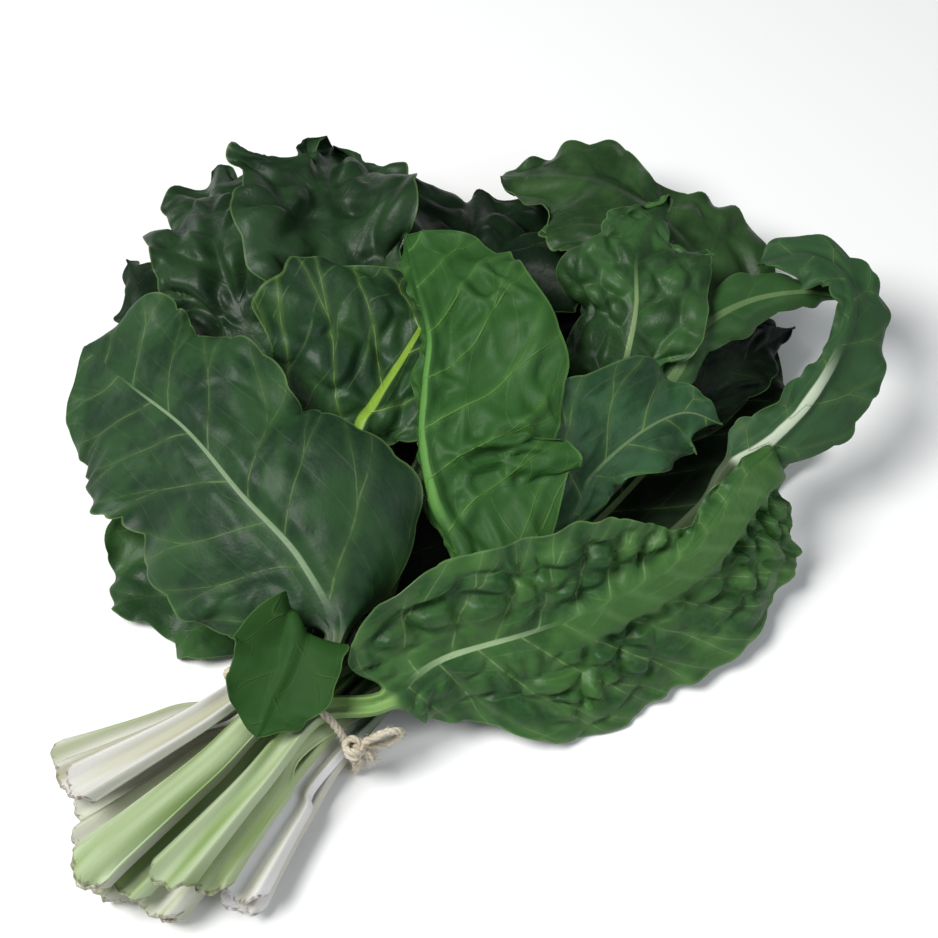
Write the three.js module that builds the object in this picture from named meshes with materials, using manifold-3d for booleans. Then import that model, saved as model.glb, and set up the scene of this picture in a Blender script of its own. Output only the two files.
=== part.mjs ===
// A bunch of green chard, tied once round its stalks and lying on a surface.
// Millimetres. +X runs from the cut ends to the leaf tips, +Y to the left and +Z up.
//
// A leaf grows as one piece, so stalk, midrib and blade are one lofted solid. Its shape comes from
// a centre line, which runs from the cut end through the tie and along the midrib, and from the
// half width, fold, curl and waves of the blade on each side of the midrib.
// The leaves are then laid on each other one by one, and each rides up over those below it.

import * as THREE from "three";
import { mergeVertices } from "three/addons/utils/BufferGeometryUtils.js";
import Module from "manifold-3d";

// ---------------------------------------------------------------- driving dimensions

const SKIN = 0.9; // thickness of a blade
const TIE_CENTRE_Y = 21; // middle of the tied stalks
const TIE_PITCH_Y = 12; // from stalk to stalk across the tie
const TIE_PITCH_Z = 7; // from layer to layer in the tie
const TIE_LOWEST_Z = 9; // middle of the lowest layer
const CUT_LENGTH = 106; // from the tie to the cut ends
const CUT_CENTRE_Y = 37.5; // middle of the cut ends, which splay
const CUT_SPREAD_Y = 1.95; // how far the cut ends splay sideways, next to the tie
const CUT_SPREAD_Z = 1.3; // and in height
const CUT_LOWEST_Z = 6; // middle of the lowest cut end
const CUT_SLANT = 1.3; // how much shorter the right stalks are cut, next to their place across
const CUT_UNEVEN = 5; // how much the cut ends differ in length
const TWINE_RADIUS = 1.5;

// Width and depth of a stalk at its cut end, half way to the tie, in it and at the blade.
const STALK_PLACES = [-1, -0.5, 0, 1];
const STALK_WIDTH = [19, 13, 9.6, 8.5];
const STALK_DEPTH = [6.5, 4.8, 4.2, 4];

// The pile slumps to one side: leaves lie on each other along this direction.
const LAY = new THREE.Vector3(-0.434, -0.304, 0.848).normalize();
const UP = new THREE.Vector3(0, 0, 1);
const BETWEEN = LAY.clone().add(UP).normalize();
const GAP = 1.3; // left between two leaves when one is laid on the other

// Rings of points along a leaf, and points across it.
const ROWS_TO_TIE = 3;
const ROWS_TO_BLADE = 3;
const PAST_TIE = 12; // the first ring past the tie, where a stalk may begin to rise
const ROWS_OF_BLADE = 13;
const COLUMNS = 11;
const FEW_COLUMNS = 9;

// What a side of a blade has where the leaf doesn't say otherwise: sweep of the margin towards
// the tip, depth and number of lobes, height and number of waves, and where these start.
const SIDE = {
  sweep: [-0.2, 0.2, 0.35, 0],
  fold: [0, 0, 0],
  curl: [0, 0, 0],
  lobe: 0.05,
  lobes: 3.3,
  wave: 4,
  waves: 3,
  phase: 0,
};

// ---------------------------------------------------------------- the leaves
// slot: place in the tie, in steps across and layers up. rib: the midrib, from the blade's start.
// edge: half widths from the blade's start to its tip. fold and curl are in degrees along the
// blade: fold is the angle at which the side leaves the midrib, curl is the bend to its margin.

const LEAVES = [
  {
    name: "leaf_under_right",
    slot: [-2, 0],
    rib: [[56, -8, 12], [98, -19, 8], [159, -30, 8], [224, -36, 12], [279, -42, 16]],
    left: { edge: [5, 38, 50, 52, 40, 3], phase: 0.1 },
    right: { edge: [5, 38, 50, 52, 40, 3], phase: 0.6 },
    facing: UP,
  },
  {
    name: "leaf_under_middle",
    slot: [-1, 0],
    rib: [[50, 17, 9], [96, 33, 9], [160, 60, 9], [227, 88, 12], [269, 104, 18]],
    left: { edge: [5, 42, 50, 52, 40, 3], phase: 0.3 },
    right: { edge: [5, 40, 48, 52, 40, 3], phase: 0.8 },
    facing: UP,
  },
  {
    name: "leaf_lobed_left",
    slot: [1, 0],
    rib: [[22, 44, 9], [29, 74, 9], [33, 107, 9], [38, 146, 9]],
    left: {
      edge: [5, 22, 30, 30, 22, 2], phase: 0.2, wave: 5, lobe: 0.12,
      fold: [-10, -10, -10], curl: [-10, -10, -10], sweep: [-0.3, 0, 0.2, 0],
    },
    right: { edge: [5, 25, 34, 34, 24, 2], phase: 0.7 },
    facing: UP,
  },
  {
    name: "leaf_back_left",
    slot: [2, 1],
    rib: [[72, 93, 18], [99, 154, 26], [118, 193, 30], [138, 225, 20]],
    left: { edge: [5, 26, 32, 30, 20, 2], phase: 0.5, fold: [0, -10, -20], curl: [0, -20, -50] },
    right: { edge: [5, 26, 32, 30, 20, 2], phase: 0.9, curl: [10, 30, 30] },
    facing: BETWEEN,
  },
  {
    name: "leaf_back_middle",
    slot: [0, 0],
    rib: [[141, 48, 26], [182, 65, 40], [213, 82, 50], [258, 107, 34]],
    left: { edge: [5, 30, 38, 40, 34, 8], phase: 0.6, wave: 6, fold: [20, 20, 10], curl: [10, 10, -20] },
    right: { edge: [5, 34, 50, 60, 56, 14], phase: 0.2, wave: 6, fold: [10, 0, 0], curl: [10, 20, -20] },
    facing: LAY,
  },
  {
    name: "leaf_back_folded",
    slot: [-2, 1],
    rib: [[191, -30, 24], [235, -20, 36], [264, -10, 44], [278, 20, 48], [281, 60, 48], [266, 101, 38]],
    left: { edge: [5, 26, 38, 46, 44, 34, 17], phase: 0.2, fold: [10, 0, 0], curl: [10, 20, 50] },
    right: {
      edge: [5, 26, 32, 35, 20, 26, 14], phase: 0.8, wave: 4,
      fold: [0, -10, -10], curl: [-10, -20, -30],
    },
    facing: LAY,
  },
  {
    name: "leaf_small_dark",
    slot: [-1, 1],
    rib: [[180, -21, 22], [217, -33, 30], [242, -45, 38], [277, -52, 28]],
    left: { edge: [4, 14, 20, 18, 12, 2], phase: 0.4, fold: [20, 20, 20], curl: [10, 10, 20] },
    right: { edge: [4, 14, 18, 16, 10, 2], phase: 0.9, curl: [-20, -30, -20] },
    facing: LAY,
    small: true,
  },
  {
    name: "leaf_crinkled_left",
    slot: [1, 1],
    rib: [[95, 75, 28], [116, 117, 44], [128, 147, 58], [152, 178, 62], [196, 213, 40]],
    left: {
      edge: [5, 26, 32, 28, 34, 18], phase: 0.15, wave: 7, lobe: 0.1,
      fold: [0, 0, -10], curl: [0, -20, -40],
    },
    right: { edge: [5, 20, 26, 30, 32, 16], phase: 0.5, wave: 7, fold: [10, 20, 10], curl: [20, 10, 0] },
    facing: LAY,
  },
  {
    name: "leaf_crinkled_right",
    slot: [0, 1],
    rib: [[123, 63, 28], [153, 99, 46], [171, 122, 60], [196, 146, 63], [234, 174, 40]],
    left: { edge: [5, 26, 32, 38, 38, 18], phase: 0.65, wave: 7, curl: [0, 10, -20] },
    right: {
      edge: [5, 26, 34, 38, 36, 16], phase: 0.3, wave: 7,
      fold: [0, 0, -10], curl: [-10, -20, -40],
    },
    facing: LAY,
  },
  {
    name: "leaf_narrow",
    slot: [-0.5, 2],
    rib: [[195, -21, 34], [232, -22, 46], [255, -33, 54], [273, -52, 58], [287, -71, 52]],
    left: { edge: [4, 10, 14, 13, 9, 2], phase: 0.2, curl: [-20, -40, -60] },
    right: { edge: [4, 10, 13, 12, 8, 2], phase: 0.6, curl: [-20, -40, -60] },
    facing: LAY,
    small: true,
  },
  {
    name: "leaf_small_crinkled",
    slot: [-1.5, 2],
    rib: [[170, -16, 30], [200, -7, 48], [221, 1, 60], [246, 16, 68], [282, 22, 62]],
    left: {
      edge: [4, 26, 40, 40, 28, 6], phase: 0.3, wave: 5,
      fold: [-10, -20, -20], curl: [-30, -50, -50],
    },
    right: { edge: [4, 16, 28, 34, 26, 6], phase: 0.75, wave: 5, fold: [0, 10, 0], curl: [0, -20, -40] },
    facing: LAY,
    small: true,
  },
  {
    name: "leaf_blue_green",
    slot: [0, 3],
    rib: [[123, -20, 32], [150, -24, 44], [175, -32, 52], [194, -42, 52], [203, -56, 44]],
    left: { edge: [4, 30, 38, 31, 17, 2], phase: 0.15, wave: 3, fold: [10, 15, 10], curl: [0, 0, -20] },
    right: {
      edge: [4, 10, 15, 22, 19, 2], phase: 0.5,
      fold: [-10, -10, 0], curl: [-10, -10, -10],
    },
    facing: LAY,
  },
  {
    name: "leaf_ring",
    slot: [-1.5, 3],
    lead: [[118, -56, 36], [163, -70, 38]],
    rib: [
      [184, -70, 45], [204, -79, 53], [223, -83, 60], [247, -82, 66],
      [270, -76, 68], [286, -62, 64], [290, -43, 58], [280, -27, 50],
    ],
    left: {
      edge: [6, 14, 25, 24, 24, 21, 16, 13, 4], phase: 0.2, wave: 3,
      fold: [10, 10, 10], curl: [10, 20, 30],
    },
    right: {
      edge: [9, 15, 12, 9, 6, 9, 16, 16, 4], phase: 0.6, wave: 3,
      fold: [10, 0, 0], curl: [0, 20, 20],
    },
    facing: LAY,
    turned: true,
    small: true,
  },
  {
    name: "leaf_inner_left",
    slot: [0.5, 2],
    rib: [[107, 69, 34], [128, 71, 44], [153, 72, 52], [172, 75, 52], [190, 80, 46]],
    left: {
      edge: [6, 50, 67, 62, 46, 3], phase: 0.1,
      fold: [10, 10, 0], curl: [10, 0, 0], sweep: [0, 0, 0, 0],
    },
    right: { edge: [6, 24, 30, 30, 20, 3], phase: 0.4, fold: [20, 20, 10] },
    facing: LAY,
  },
  {
    name: "leaf_centre",
    slot: [0, 4],
    rib: [
      [76, -10, 40], [97, 17, 56], [113, 34, 66], [133, 47, 74],
      [149, 57, 80], [168, 78, 82], [188, 98, 76],
    ],
    left: {
      edge: [8, 50, 60, 60, 52, 42, 17], phase: 0.45, wave: 3,
      fold: [0, 10, 0], curl: [10, 10, 10], sweep: [-0.4, 0, 0.3, 0.1],
    },
    right: {
      edge: [5, 12, 14, 14, 12, 8, 3], phase: 0.8,
      fold: [40, 50, 40], curl: [30, 30, 30],
    },
    facing: LAY,
    turned: true,
  },
  {
    name: "leaf_front_left",
    slot: [1, 4],
    rib: [[26, 16, 46], [42, 43, 59], [50, 80, 66], [61, 117, 66], [69, 156, 56], [79, 194, 42]],
    left: {
      edge: [6, 45, 56, 53, 53, 50, 40, 10], phase: 0.15, wave: 3,
      fold: [-5, -10, -10], curl: [-20, -10, -10], sweep: [0, 0.1, 0.3, 0],
    },
    right: {
      edge: [8, 32, 57, 55, 50, 47, 44, 42, 41, 40, 39, 30, 10], phase: 0.3, wave: 4,
      fold: [5, 5, 0], curl: [-60, -30, -20], sweep: [-0.2, 0.2, 0.3, 0],
    },
    facing: LAY,
  },
  {
    name: "leaf_front_right",
    slot: [-1.25, 4],
    rib: [
      [18, -13, 40], [44, -22, 44], [76, -45, 44], [102, -60, 46],
      [144, -76, 46], [186, -73, 41], [207, -75, 36],
    ],
    left: {
      edge: [8, 38, 40, 35, 9, 6, 6], phase: 0.35, wave: 3,
      fold: [20, 25, 20], curl: [10, 0, -20], sweep: [-0.9, -0.1, 0.3, 0],
    },
    right: {
      edge: [8, 34, 50, 56, 49, 50, 30], phase: 0.1, wave: 3,
      fold: [-15, -15, -10], curl: [-15, -15, -20], sweep: [-0.4, 0.1, 0.3, 0],
    },
    facing: LAY,
  },
  {
    name: "leaf_over_tie",
    slot: [1.5, 2],
    lead: [[13, 42, 28], [24, 42, 38]],
    rib: [[25, 36, 48], [19, 28, 53], [5, 22, 53], [-9, 19, 51], [-23, 16, 45]],
    left: { edge: [8, 20, 22, 19, 15, 7], phase: 0.2, wave: 2, curl: [-20, -20, 0] },
    right: { edge: [8, 20, 22, 20, 15, 7], phase: 0.5, wave: 2, curl: [-20, -20, 0] },
    facing: LAY,
    bentBack: true,
    small: true,
  },
];

// ---------------------------------------------------------------- curves

// Catmull-Rom through the points, as a dense polyline with the arc length at each of its points.
const STEPS = 24;

function smoothLine(points) {
  const p = [
    points[0].clone().multiplyScalar(2).sub(points[1]),
    ...points,
    points.at(-1).clone().multiplyScalar(2).sub(points.at(-2)),
  ];
  const line = [];
  for (let i = 1; i < p.length - 2; i++) {
    for (let k = 0; k < STEPS; k++) {
      line.push(splinePoint(p[i - 1], p[i], p[i + 1], p[i + 2], k / STEPS));
    }
  }
  line.push(points.at(-1).clone());
  const arc = [0];
  for (let i = 1; i < line.length; i++) {
    arc.push(arc[i - 1] + line[i].distanceTo(line[i - 1]));
  }
  return { line, arc };
}

function spline(a, b, c, d, f) {
  const square = (2 * a - 5 * b + 4 * c - d) * f * f;
  const cube = (3 * b - a - 3 * c + d) * f * f * f;
  return 0.5 * (2 * b + (c - a) * f + square + cube);
}

function splinePoint(a, b, c, d, f) {
  return new THREE.Vector3(
    spline(a.x, b.x, c.x, d.x, f),
    spline(a.y, b.y, c.y, d.y, f),
    spline(a.z, b.z, c.z, d.z, f),
  );
}

function pointAt({ line, arc }, length) {
  let i = 1;
  while (i < arc.length - 1 && arc[i] < length) i++;
  const f = THREE.MathUtils.clamp((length - arc[i - 1]) / (arc[i] - arc[i - 1]), 0, 1);
  return line[i - 1].clone().lerp(line[i], f);
}

// Values spaced evenly over 0 to 1: eased from one to the next, or one smooth curve through all.
function eased(values, t) {
  const x = THREE.MathUtils.clamp(t, 0, 1) * (values.length - 1);
  const i = Math.min(Math.floor(x), values.length - 2);
  const f = x - i;
  const ease = f * f * (3 - 2 * f);
  return values[i] * (1 - ease) + values[i + 1] * ease;
}

function curved(values, t) {
  const last = values.length - 1;
  const x = THREE.MathUtils.clamp(t, 0, 1) * last;
  const i = Math.min(Math.floor(x), last - 1);
  const before = i > 0 ? values[i - 1] : 2 * values[0] - values[1];
  const after = i < last - 1 ? values[i + 2] : 2 * values[last] - values[last - 1];
  return spline(before, values[i], values[i + 1], after, x - i);
}

// Straight lines between values given at stated places.
function between(places, values, t) {
  let i = 1;
  while (i < places.length - 1 && places[i] < t) i++;
  const f = THREE.MathUtils.clamp((t - places[i - 1]) / (places[i] - places[i - 1]), 0, 1);
  return values[i - 1] * (1 - f) + values[i] * f;
}

// ---------------------------------------------------------------- one leaf

function vectors(points) {
  return points.map((point) => new THREE.Vector3(...point));
}

// The centre line's points: cut end, half way, tie, any lead to the blade, then the midrib.
function centrePoints(leaf) {
  const [across, layer] = leaf.slot;
  const y = TIE_CENTRE_Y + across * TIE_PITCH_Y;
  const z = TIE_LOWEST_Z + layer * TIE_PITCH_Z;
  const cutY = CUT_CENTRE_Y + across * TIE_PITCH_Y * CUT_SPREAD_Y;
  const cutZ = CUT_LOWEST_Z + layer * TIE_PITCH_Z * CUT_SPREAD_Z;
  const uneven = CUT_UNEVEN * Math.sin(2.4 * LEAVES.indexOf(leaf));
  const length = CUT_LENGTH + Math.min(across, 0) * TIE_PITCH_Y * CUT_SLANT + uneven;
  const cutX = -Math.sqrt(length ** 2 - cutY ** 2);
  return [
    new THREE.Vector3(cutX, cutY, cutZ),
    new THREE.Vector3(0.42 * cutX, y + 0.36 * (cutY - y), z + 0.45 * (cutZ - z)),
    new THREE.Vector3(0, y, z),
    ...vectors(leaf.lead ?? []),
    ...vectors(leaf.rib),
  ];
}

// Stations along the leaf. stalk runs from -1 at the cut end over 0 in the tie to 1 at the
// blade; blade runs from 0 to 1 along the midrib, and is -1 before it.
function stations(leaf) {
  const curve = smoothLine(centrePoints(leaf));
  const atTie = curve.arc[2 * STEPS];
  const atBlade = curve.arc[(3 + (leaf.lead ?? []).length) * STEPS];
  const atTip = curve.arc.at(-1);
  const lengths = [];
  for (let i = 0; i < ROWS_TO_TIE; i++) lengths.push((atTie * i) / ROWS_TO_TIE);
  const run = atBlade - atTie;
  lengths.push(atTie, atTie + Math.min(PAST_TIE, run / 3), atTie + 0.62 * run);
  for (let i = 0; i < ROWS_OF_BLADE; i++) {
    lengths.push(atBlade + ((atTip - atBlade) * i) / (ROWS_OF_BLADE - 1));
  }
  const list = lengths.map((length) => {
    const step = 0.5;
    const tangent = pointAt(curve, length + step).sub(pointAt(curve, length - step)).normalize();
    return {
      place: pointAt(curve, length),
      tangent,
      stalk: length <= atTie ? length / atTie - 1 : Math.min((length - atTie) / (atBlade - atTie), 1),
      blade: length < atBlade ? -1 : (length - atBlade) / (atTip - atBlade),
    };
  });
  turnFrames(leaf, list);
  return list;
}

// The upper face's direction at each station: up at the stalk and the leaf's own way at the
// blade. A leaf that is bent back turns with the bend, and ends with its lower face outside.
function turnFrames(leaf, list) {
  let normal = UP.clone();
  for (const station of list) {
    if (leaf.bentBack) {
      const turn = THREE.MathUtils.clamp(4 * station.blade, 0, 1);
      normal = normal.clone().lerp(leaf.facing.clone().negate(), turn);
    } else {
      normal = UP.clone().lerp(leaf.facing, Math.max(station.stalk, 0));
      if (leaf.turned) normal.negate();
    }
    normal = normal.clone().addScaledVector(station.tangent, -normal.dot(station.tangent)).normalize();
    station.normal = normal;
    station.left = new THREE.Vector3().crossVectors(normal, station.tangent);
  }
}

// A point of the stalk: a crescent, grooved above and round below. q runs from -1, right, to 1.
function stalkPoint(station, q) {
  const width = between(STALK_PLACES, STALK_WIDTH, station.stalk);
  const depth = between(STALK_PLACES, STALK_DEPTH, station.stalk);
  const centring = 0.285 * depth * Math.min(1, 1 - station.stalk);
  const groove = 0.28 * depth * q * q + centring;
  const point = station.place.clone().addScaledVector(station.left, (q * width) / 2);
  point.addScaledVector(station.normal, groove);
  const below = 0.85 * depth * Math.max(1 - q * q, 0) ** 0.7;
  return { point, out: station.normal, above: SKIN / 2, below: SKIN / 2 + below };
}

// The midrib's half width and its depth below the blade, along the blade.
function midrib(blade) {
  return {
    half: between([0, 0.15, 0.6, 1], [0.4 * STALK_WIDTH[3], 3, 1.8, 0.7], blade),
    depth: between([0, 0.15, 0.6, 1], [0.9 * STALK_DEPTH[3], 3, 1.4, 0.2], blade),
  };
}

// A point of the blade. step counts columns from the midrib, negative to the right.
function bladePoint(leaf, station, step, halfColumns) {
  const side = Math.sign(step) || 1;
  const shape = { ...SIDE, ...(side > 0 ? leaf.left : leaf.right) };
  const s = station.blade;
  const rib = midrib(s);
  const lobes = 1 + shape.lobe * Math.sin(2 * Math.PI * (shape.lobes * s + shape.phase));
  const width = Math.max(curved(shape.edge, s) * lobes, rib.half + 1.2);
  const m = Math.abs(step);
  const beyond = (width - rib.half) * Math.max((m - 1) / (halfColumns - 1), 0) ** 0.9;
  const x = m === 0 ? 0 : rib.half + beyond;
  const q = x / width;
  const fold = THREE.MathUtils.degToRad(eased(shape.fold, s));
  const half = (THREE.MathUtils.degToRad(eased(shape.curl, s)) * q) / 2;
  const chord = Math.abs(half) > 1e-6 ? (x * Math.sin(half)) / half : x;
  const end = fold + 2 * half;
  const wave = Math.sin(2 * Math.PI * (shape.waves * s + 0.3 * q + shape.phase));
  const height = shape.wave * q * q * wave * Math.min(1, width / 25);
  const face = station.normal.clone().multiplyScalar(Math.cos(end));
  face.addScaledVector(station.left, -side * Math.sin(end));
  const point = station.place.clone();
  point.addScaledVector(station.left, side * chord * Math.cos(fold + half));
  point.addScaledVector(station.normal, chord * Math.sin(fold + half));
  point.addScaledVector(station.tangent, eased(shape.sweep, s) * x);
  point.addScaledVector(face, height);
  const below = rib.depth * Math.max(1 - (x / (1.6 * rib.half)) ** 2, 0);
  return { point, out: face, above: SKIN / 2, below: SKIN / 2 + below };
}

// A grid of mid points over the whole leaf, with the way out of the upper face at each.
function leafGrid(leaf) {
  const columns = leaf.small ? FEW_COLUMNS : COLUMNS;
  const half = (columns - 1) / 2;
  const list = stations(leaf);
  const grid = list.map((station) => {
    const row = [];
    for (let step = -half; step <= half; step++) {
      const q = Math.sign(step) * Math.abs(step / half) ** 0.8;
      const onStalk = station.blade <= 0;
      row.push(onStalk ? stalkPoint(station, q) : bladePoint(leaf, station, step, half));
    }
    return row;
  });
  squareToSurface(grid, list);
  return { list, grid };
}

// On the blade the way out follows the waved surface, so that the blade is equally thick all over.
function squareToSurface(grid, list) {
  const points = grid.map((row) => row.map((cell) => cell.point));
  for (let i = 1; i < grid.length; i++) {
    if (list[i].blade <= 0) continue;
    for (let j = 0; j < grid[i].length; j++) {
      const ahead = points[Math.min(i + 1, grid.length - 1)][j];
      const along = ahead.clone().sub(points[i - 1][j]);
      const across = points[i][Math.min(j + 1, grid[i].length - 1)].clone();
      across.sub(points[i][Math.max(j - 1, 0)]);
      grid[i][j].out = along.cross(across).normalize();
    }
  }
}

// The two faces of the leaf, as grids of points.
function leafFaces(leaf) {
  const { list, grid } = leafGrid(leaf);
  const face = (offset) => grid.map((row) => row.map((cell) => {
    return cell.point.clone().addScaledVector(cell.out, offset(cell));
  }));
  return {
    leaf,
    list,
    top: face((cell) => cell.above),
    bottom: face((cell) => -cell.below),
  };
}

// ---------------------------------------------------------------- laying the leaves

// How high the pile stands along LAY, over a square grid of cells. It starts as the surface.
const CELL = 1;
const FIELD_SIZE = 900;
const FIELD_START = -320;
const SIDEWAYS = new THREE.Vector3(-LAY.y, LAY.x, 0).normalize();
const ALONG = new THREE.Vector3().crossVectors(LAY, SIDEWAYS);

function emptyField() {
  const field = new Float64Array(FIELD_SIZE * FIELD_SIZE);
  for (let a = 0; a < FIELD_SIZE; a++) {
    for (let b = 0; b < FIELD_SIZE; b++) {
      const v = FIELD_START + (b + 0.5) * CELL;
      field[a * FIELD_SIZE + b] = (-v * ALONG.z) / LAY.z;
    }
  }
  return field;
}

function cellIndex(value) {
  return THREE.MathUtils.clamp(Math.floor(value), 0, FIELD_SIZE - 1);
}

function fieldPlace(point) {
  return [(point.dot(SIDEWAYS) - FIELD_START) / CELL, (point.dot(ALONG) - FIELD_START) / CELL];
}

// How far a point has to rise along LAY to clear the pile.
function needAt(field, point) {
  const [a, b] = fieldPlace(point);
  let height = -Infinity;
  for (const da of [-0.5, 0.5]) {
    for (const db of [-0.5, 0.5]) {
      height = Math.max(height, field[cellIndex(a + da) * FIELD_SIZE + cellIndex(b + db)]);
    }
  }
  return height + GAP - point.dot(LAY);
}

function raiseField(field, point) {
  const [a, b] = fieldPlace(point);
  const index = cellIndex(a) * FIELD_SIZE + cellIndex(b);
  field[index] = Math.max(field[index], point.dot(LAY));
}

// Calls visit for points spread over the two triangles of quad i, j of a face.
function overQuad(face, i, j, visit) {
  const [a, b, c, d] = [face[i][j], face[i + 1][j], face[i + 1][j + 1], face[i][j + 1]];
  const point = new THREE.Vector3();
  const along = Math.ceil(Math.max(a.distanceTo(b), d.distanceTo(c)) / CELL);
  const across = Math.ceil(Math.max(a.distanceTo(d), b.distanceTo(c)) / CELL);
  for (let x = 0; x <= along; x++) {
    for (let y = 0; y <= across; y++) {
      const [u, v] = [x / along, y / across];
      const corner = u >= v ? b : d;
      const first = Math.max(u, v);
      const second = Math.min(u, v);
      point.copy(a).multiplyScalar(1 - first);
      point.addScaledVector(corner, first - second).addScaledVector(c, second);
      visit(point);
    }
  }
}

// The rise that each point of the leaf needs, from the worst place in the quads round it.
function neededRise(faces, field) {
  const need = faces.top.map((row) => row.map(() => 0));
  for (const face of [faces.top, faces.bottom]) {
    for (let i = TIED_ROWS - 1; i < face.length - 1; i++) {
      for (let j = 0; j < face[i].length - 1; j++) {
        let most = 0;
        overQuad(face, i, j, (point) => {
          most = Math.max(most, needAt(field, point));
        });
        for (const [di, dj] of [[0, 0], [1, 0], [1, 1], [0, 1]]) {
          need[i + di][j + dj] = Math.max(need[i + di][j + dj], most);
        }
      }
    }
  }
  return need;
}

// Raises the leaf off the pile: as little as it can, in one smooth sweep that fades away from
// what it lies on. The tied rows stay in their slots, which keep them apart.
const FADE = 0.95;
const PASSES = 80;
const TIED_ROWS = ROWS_TO_TIE + 2;

function layOnPile(faces, field) {
  const need = neededRise(faces, field);
  const last = need.length - 1;
  let rise = need.map((row, i) => row.map((value) => (i < TIED_ROWS ? 0 : value)));
  for (let pass = 0; pass < PASSES; pass++) {
    rise = rise.map((row, i) => row.map((value, j) => {
      if (i < TIED_ROWS) return 0;
      const side = row[Math.max(j - 1, 0)] + row[Math.min(j + 1, row.length - 1)];
      const along = rise[i - 1][j] + rise[Math.min(i + 1, last)][j];
      return Math.max(need[i][j], (FADE * (side + along)) / 4);
    }));
  }
  for (const face of [faces.top, faces.bottom]) {
    face.forEach((row, i) => row.forEach((point, j) => point.addScaledVector(LAY, rise[i][j])));
    for (let i = TIED_ROWS - 1; i < last; i++) {
      for (let j = 0; j < face[i].length - 1; j++) overQuad(face, i, j, (point) => raiseField(field, point));
    }
  }
}

// Lays the leaves in the order of the list.
function layLeaves() {
  const field = emptyField();
  const all = LEAVES.map(leafFaces);
  for (const faces of all) layOnPile(faces, field);
  return all;
}

// ---------------------------------------------------------------- solids

const STALK_SLOT = 0;
const BLADE_SLOT = 1;

// One closed body: upper face, lower face split into triangles alike, both margins, both ends.
function leafGeometry(faces) {
  const rows = faces.top.length;
  const columns = faces.top[0].length;
  const positions = [];
  for (const face of [faces.top, faces.bottom]) {
    for (const row of face) for (const point of row) positions.push(...point);
  }
  const top = (i, j) => i * columns + j;
  const low = (i, j) => (rows + i) * columns + j;
  const stalk = [];
  const blade = [];
  const lastColumn = columns - 1;
  const quad = (list, a, b, c, d) => list.push(a, b, c, a, c, d);
  for (let i = 0; i < rows - 1; i++) {
    const list = faces.list[i].blade < 0 ? stalk : blade;
    for (let j = 0; j < lastColumn; j++) {
      quad(list, top(i, j), top(i + 1, j), top(i + 1, j + 1), top(i, j + 1));
      list.push(low(i, j), low(i + 1, j + 1), low(i + 1, j), low(i, j), low(i, j + 1), low(i + 1, j + 1));
    }
    quad(list, top(i, 0), low(i, 0), low(i + 1, 0), top(i + 1, 0));
    quad(list, top(i, lastColumn), top(i + 1, lastColumn), low(i + 1, lastColumn), low(i, lastColumn));
  }
  for (let j = 0; j < lastColumn; j++) {
    quad(stalk, top(0, j), top(0, j + 1), low(0, j + 1), low(0, j));
    quad(blade, top(rows - 1, j), low(rows - 1, j), low(rows - 1, j + 1), top(rows - 1, j + 1));
  }
  const geometry = new THREE.BufferGeometry();
  geometry.setAttribute("position", new THREE.Float32BufferAttribute(positions, 3));
  geometry.setIndex([...stalk, ...blade]);
  geometry.addGroup(0, stalk.length, STALK_SLOT);
  geometry.addGroup(stalk.length, blade.length, BLADE_SLOT);
  geometry.computeVertexNormals();
  return geometry;
}

// ---------------------------------------------------------------- the tie

// The twine's route round the stalks, across and up in the plane of the tie.
const TIE_ROUTE = [
  [-9, 4.6], [15, 3], [38, 4.4], [51.5, 10], [53, 18], [47.5, 28], [42.5, 36],
  [39.5, 42], [21, 43.5], [3, 43.5], [-4, 38], [-8.5, 28], [-11.5, 18], [-11.5, 9],
];
const KNOT = [0, -11, 28];
const KNOT_RADIUS = 3.4;
const BOW = [
  [0, -12, 28], [6, -16, 31], [12, -20, 32], [16, -23, 28], [12, -21, 24], [6, -17, 25], [0, -12, 28],
];
const SHORT_END = [[0, -12, 28], [2, -17, 25], [3, -20, 20]];
const LONG_END = [[0, -12, 28], [-1, -15, 22], [1, -15, 15]];
const TWINE_SIDES = 6;
const WOUND_STEPS = 28;
const LOOSE_STEPS = 10;

function twineRing(points) {
  const curve = new THREE.CatmullRomCurve3(points, true);
  return new THREE.TubeGeometry(curve, WOUND_STEPS, TWINE_RADIUS, TWINE_SIDES, true);
}

function twineEnd(points, steps) {
  const section = new THREE.Shape();
  for (let k = 0; k < TWINE_SIDES; k++) {
    const angle = (2 * Math.PI * k) / TWINE_SIDES;
    const [x, y] = [TWINE_RADIUS * Math.cos(angle), TWINE_RADIUS * Math.sin(angle)];
    if (k === 0) section.moveTo(x, y);
    else section.lineTo(x, y);
  }
  const extrudePath = new THREE.CatmullRomCurve3(vectors(points));
  return new THREE.ExtrudeGeometry(section, { extrudePath, steps, bevelEnabled: false });
}

const wasm = await Module();
wasm.setup();

function toSolid(geometry) {
  const bare = geometry.clone();
  bare.deleteAttribute("normal");
  bare.deleteAttribute("uv");
  const merged = mergeVertices(bare, 1e-4);
  return new wasm.Manifold(new wasm.Mesh({
    numProp: 3,
    vertProperties: new Float32Array(merged.attributes.position.array),
    triVerts: new Uint32Array(merged.index.array),
  }));
}

function fromSolid(solid) {
  const mesh = solid.getMesh();
  const geometry = new THREE.BufferGeometry();
  geometry.setAttribute("position", new THREE.Float32BufferAttribute(mesh.vertProperties, 3));
  geometry.setIndex([...mesh.triVerts]);
  geometry.computeVertexNormals();
  return geometry;
}

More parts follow.
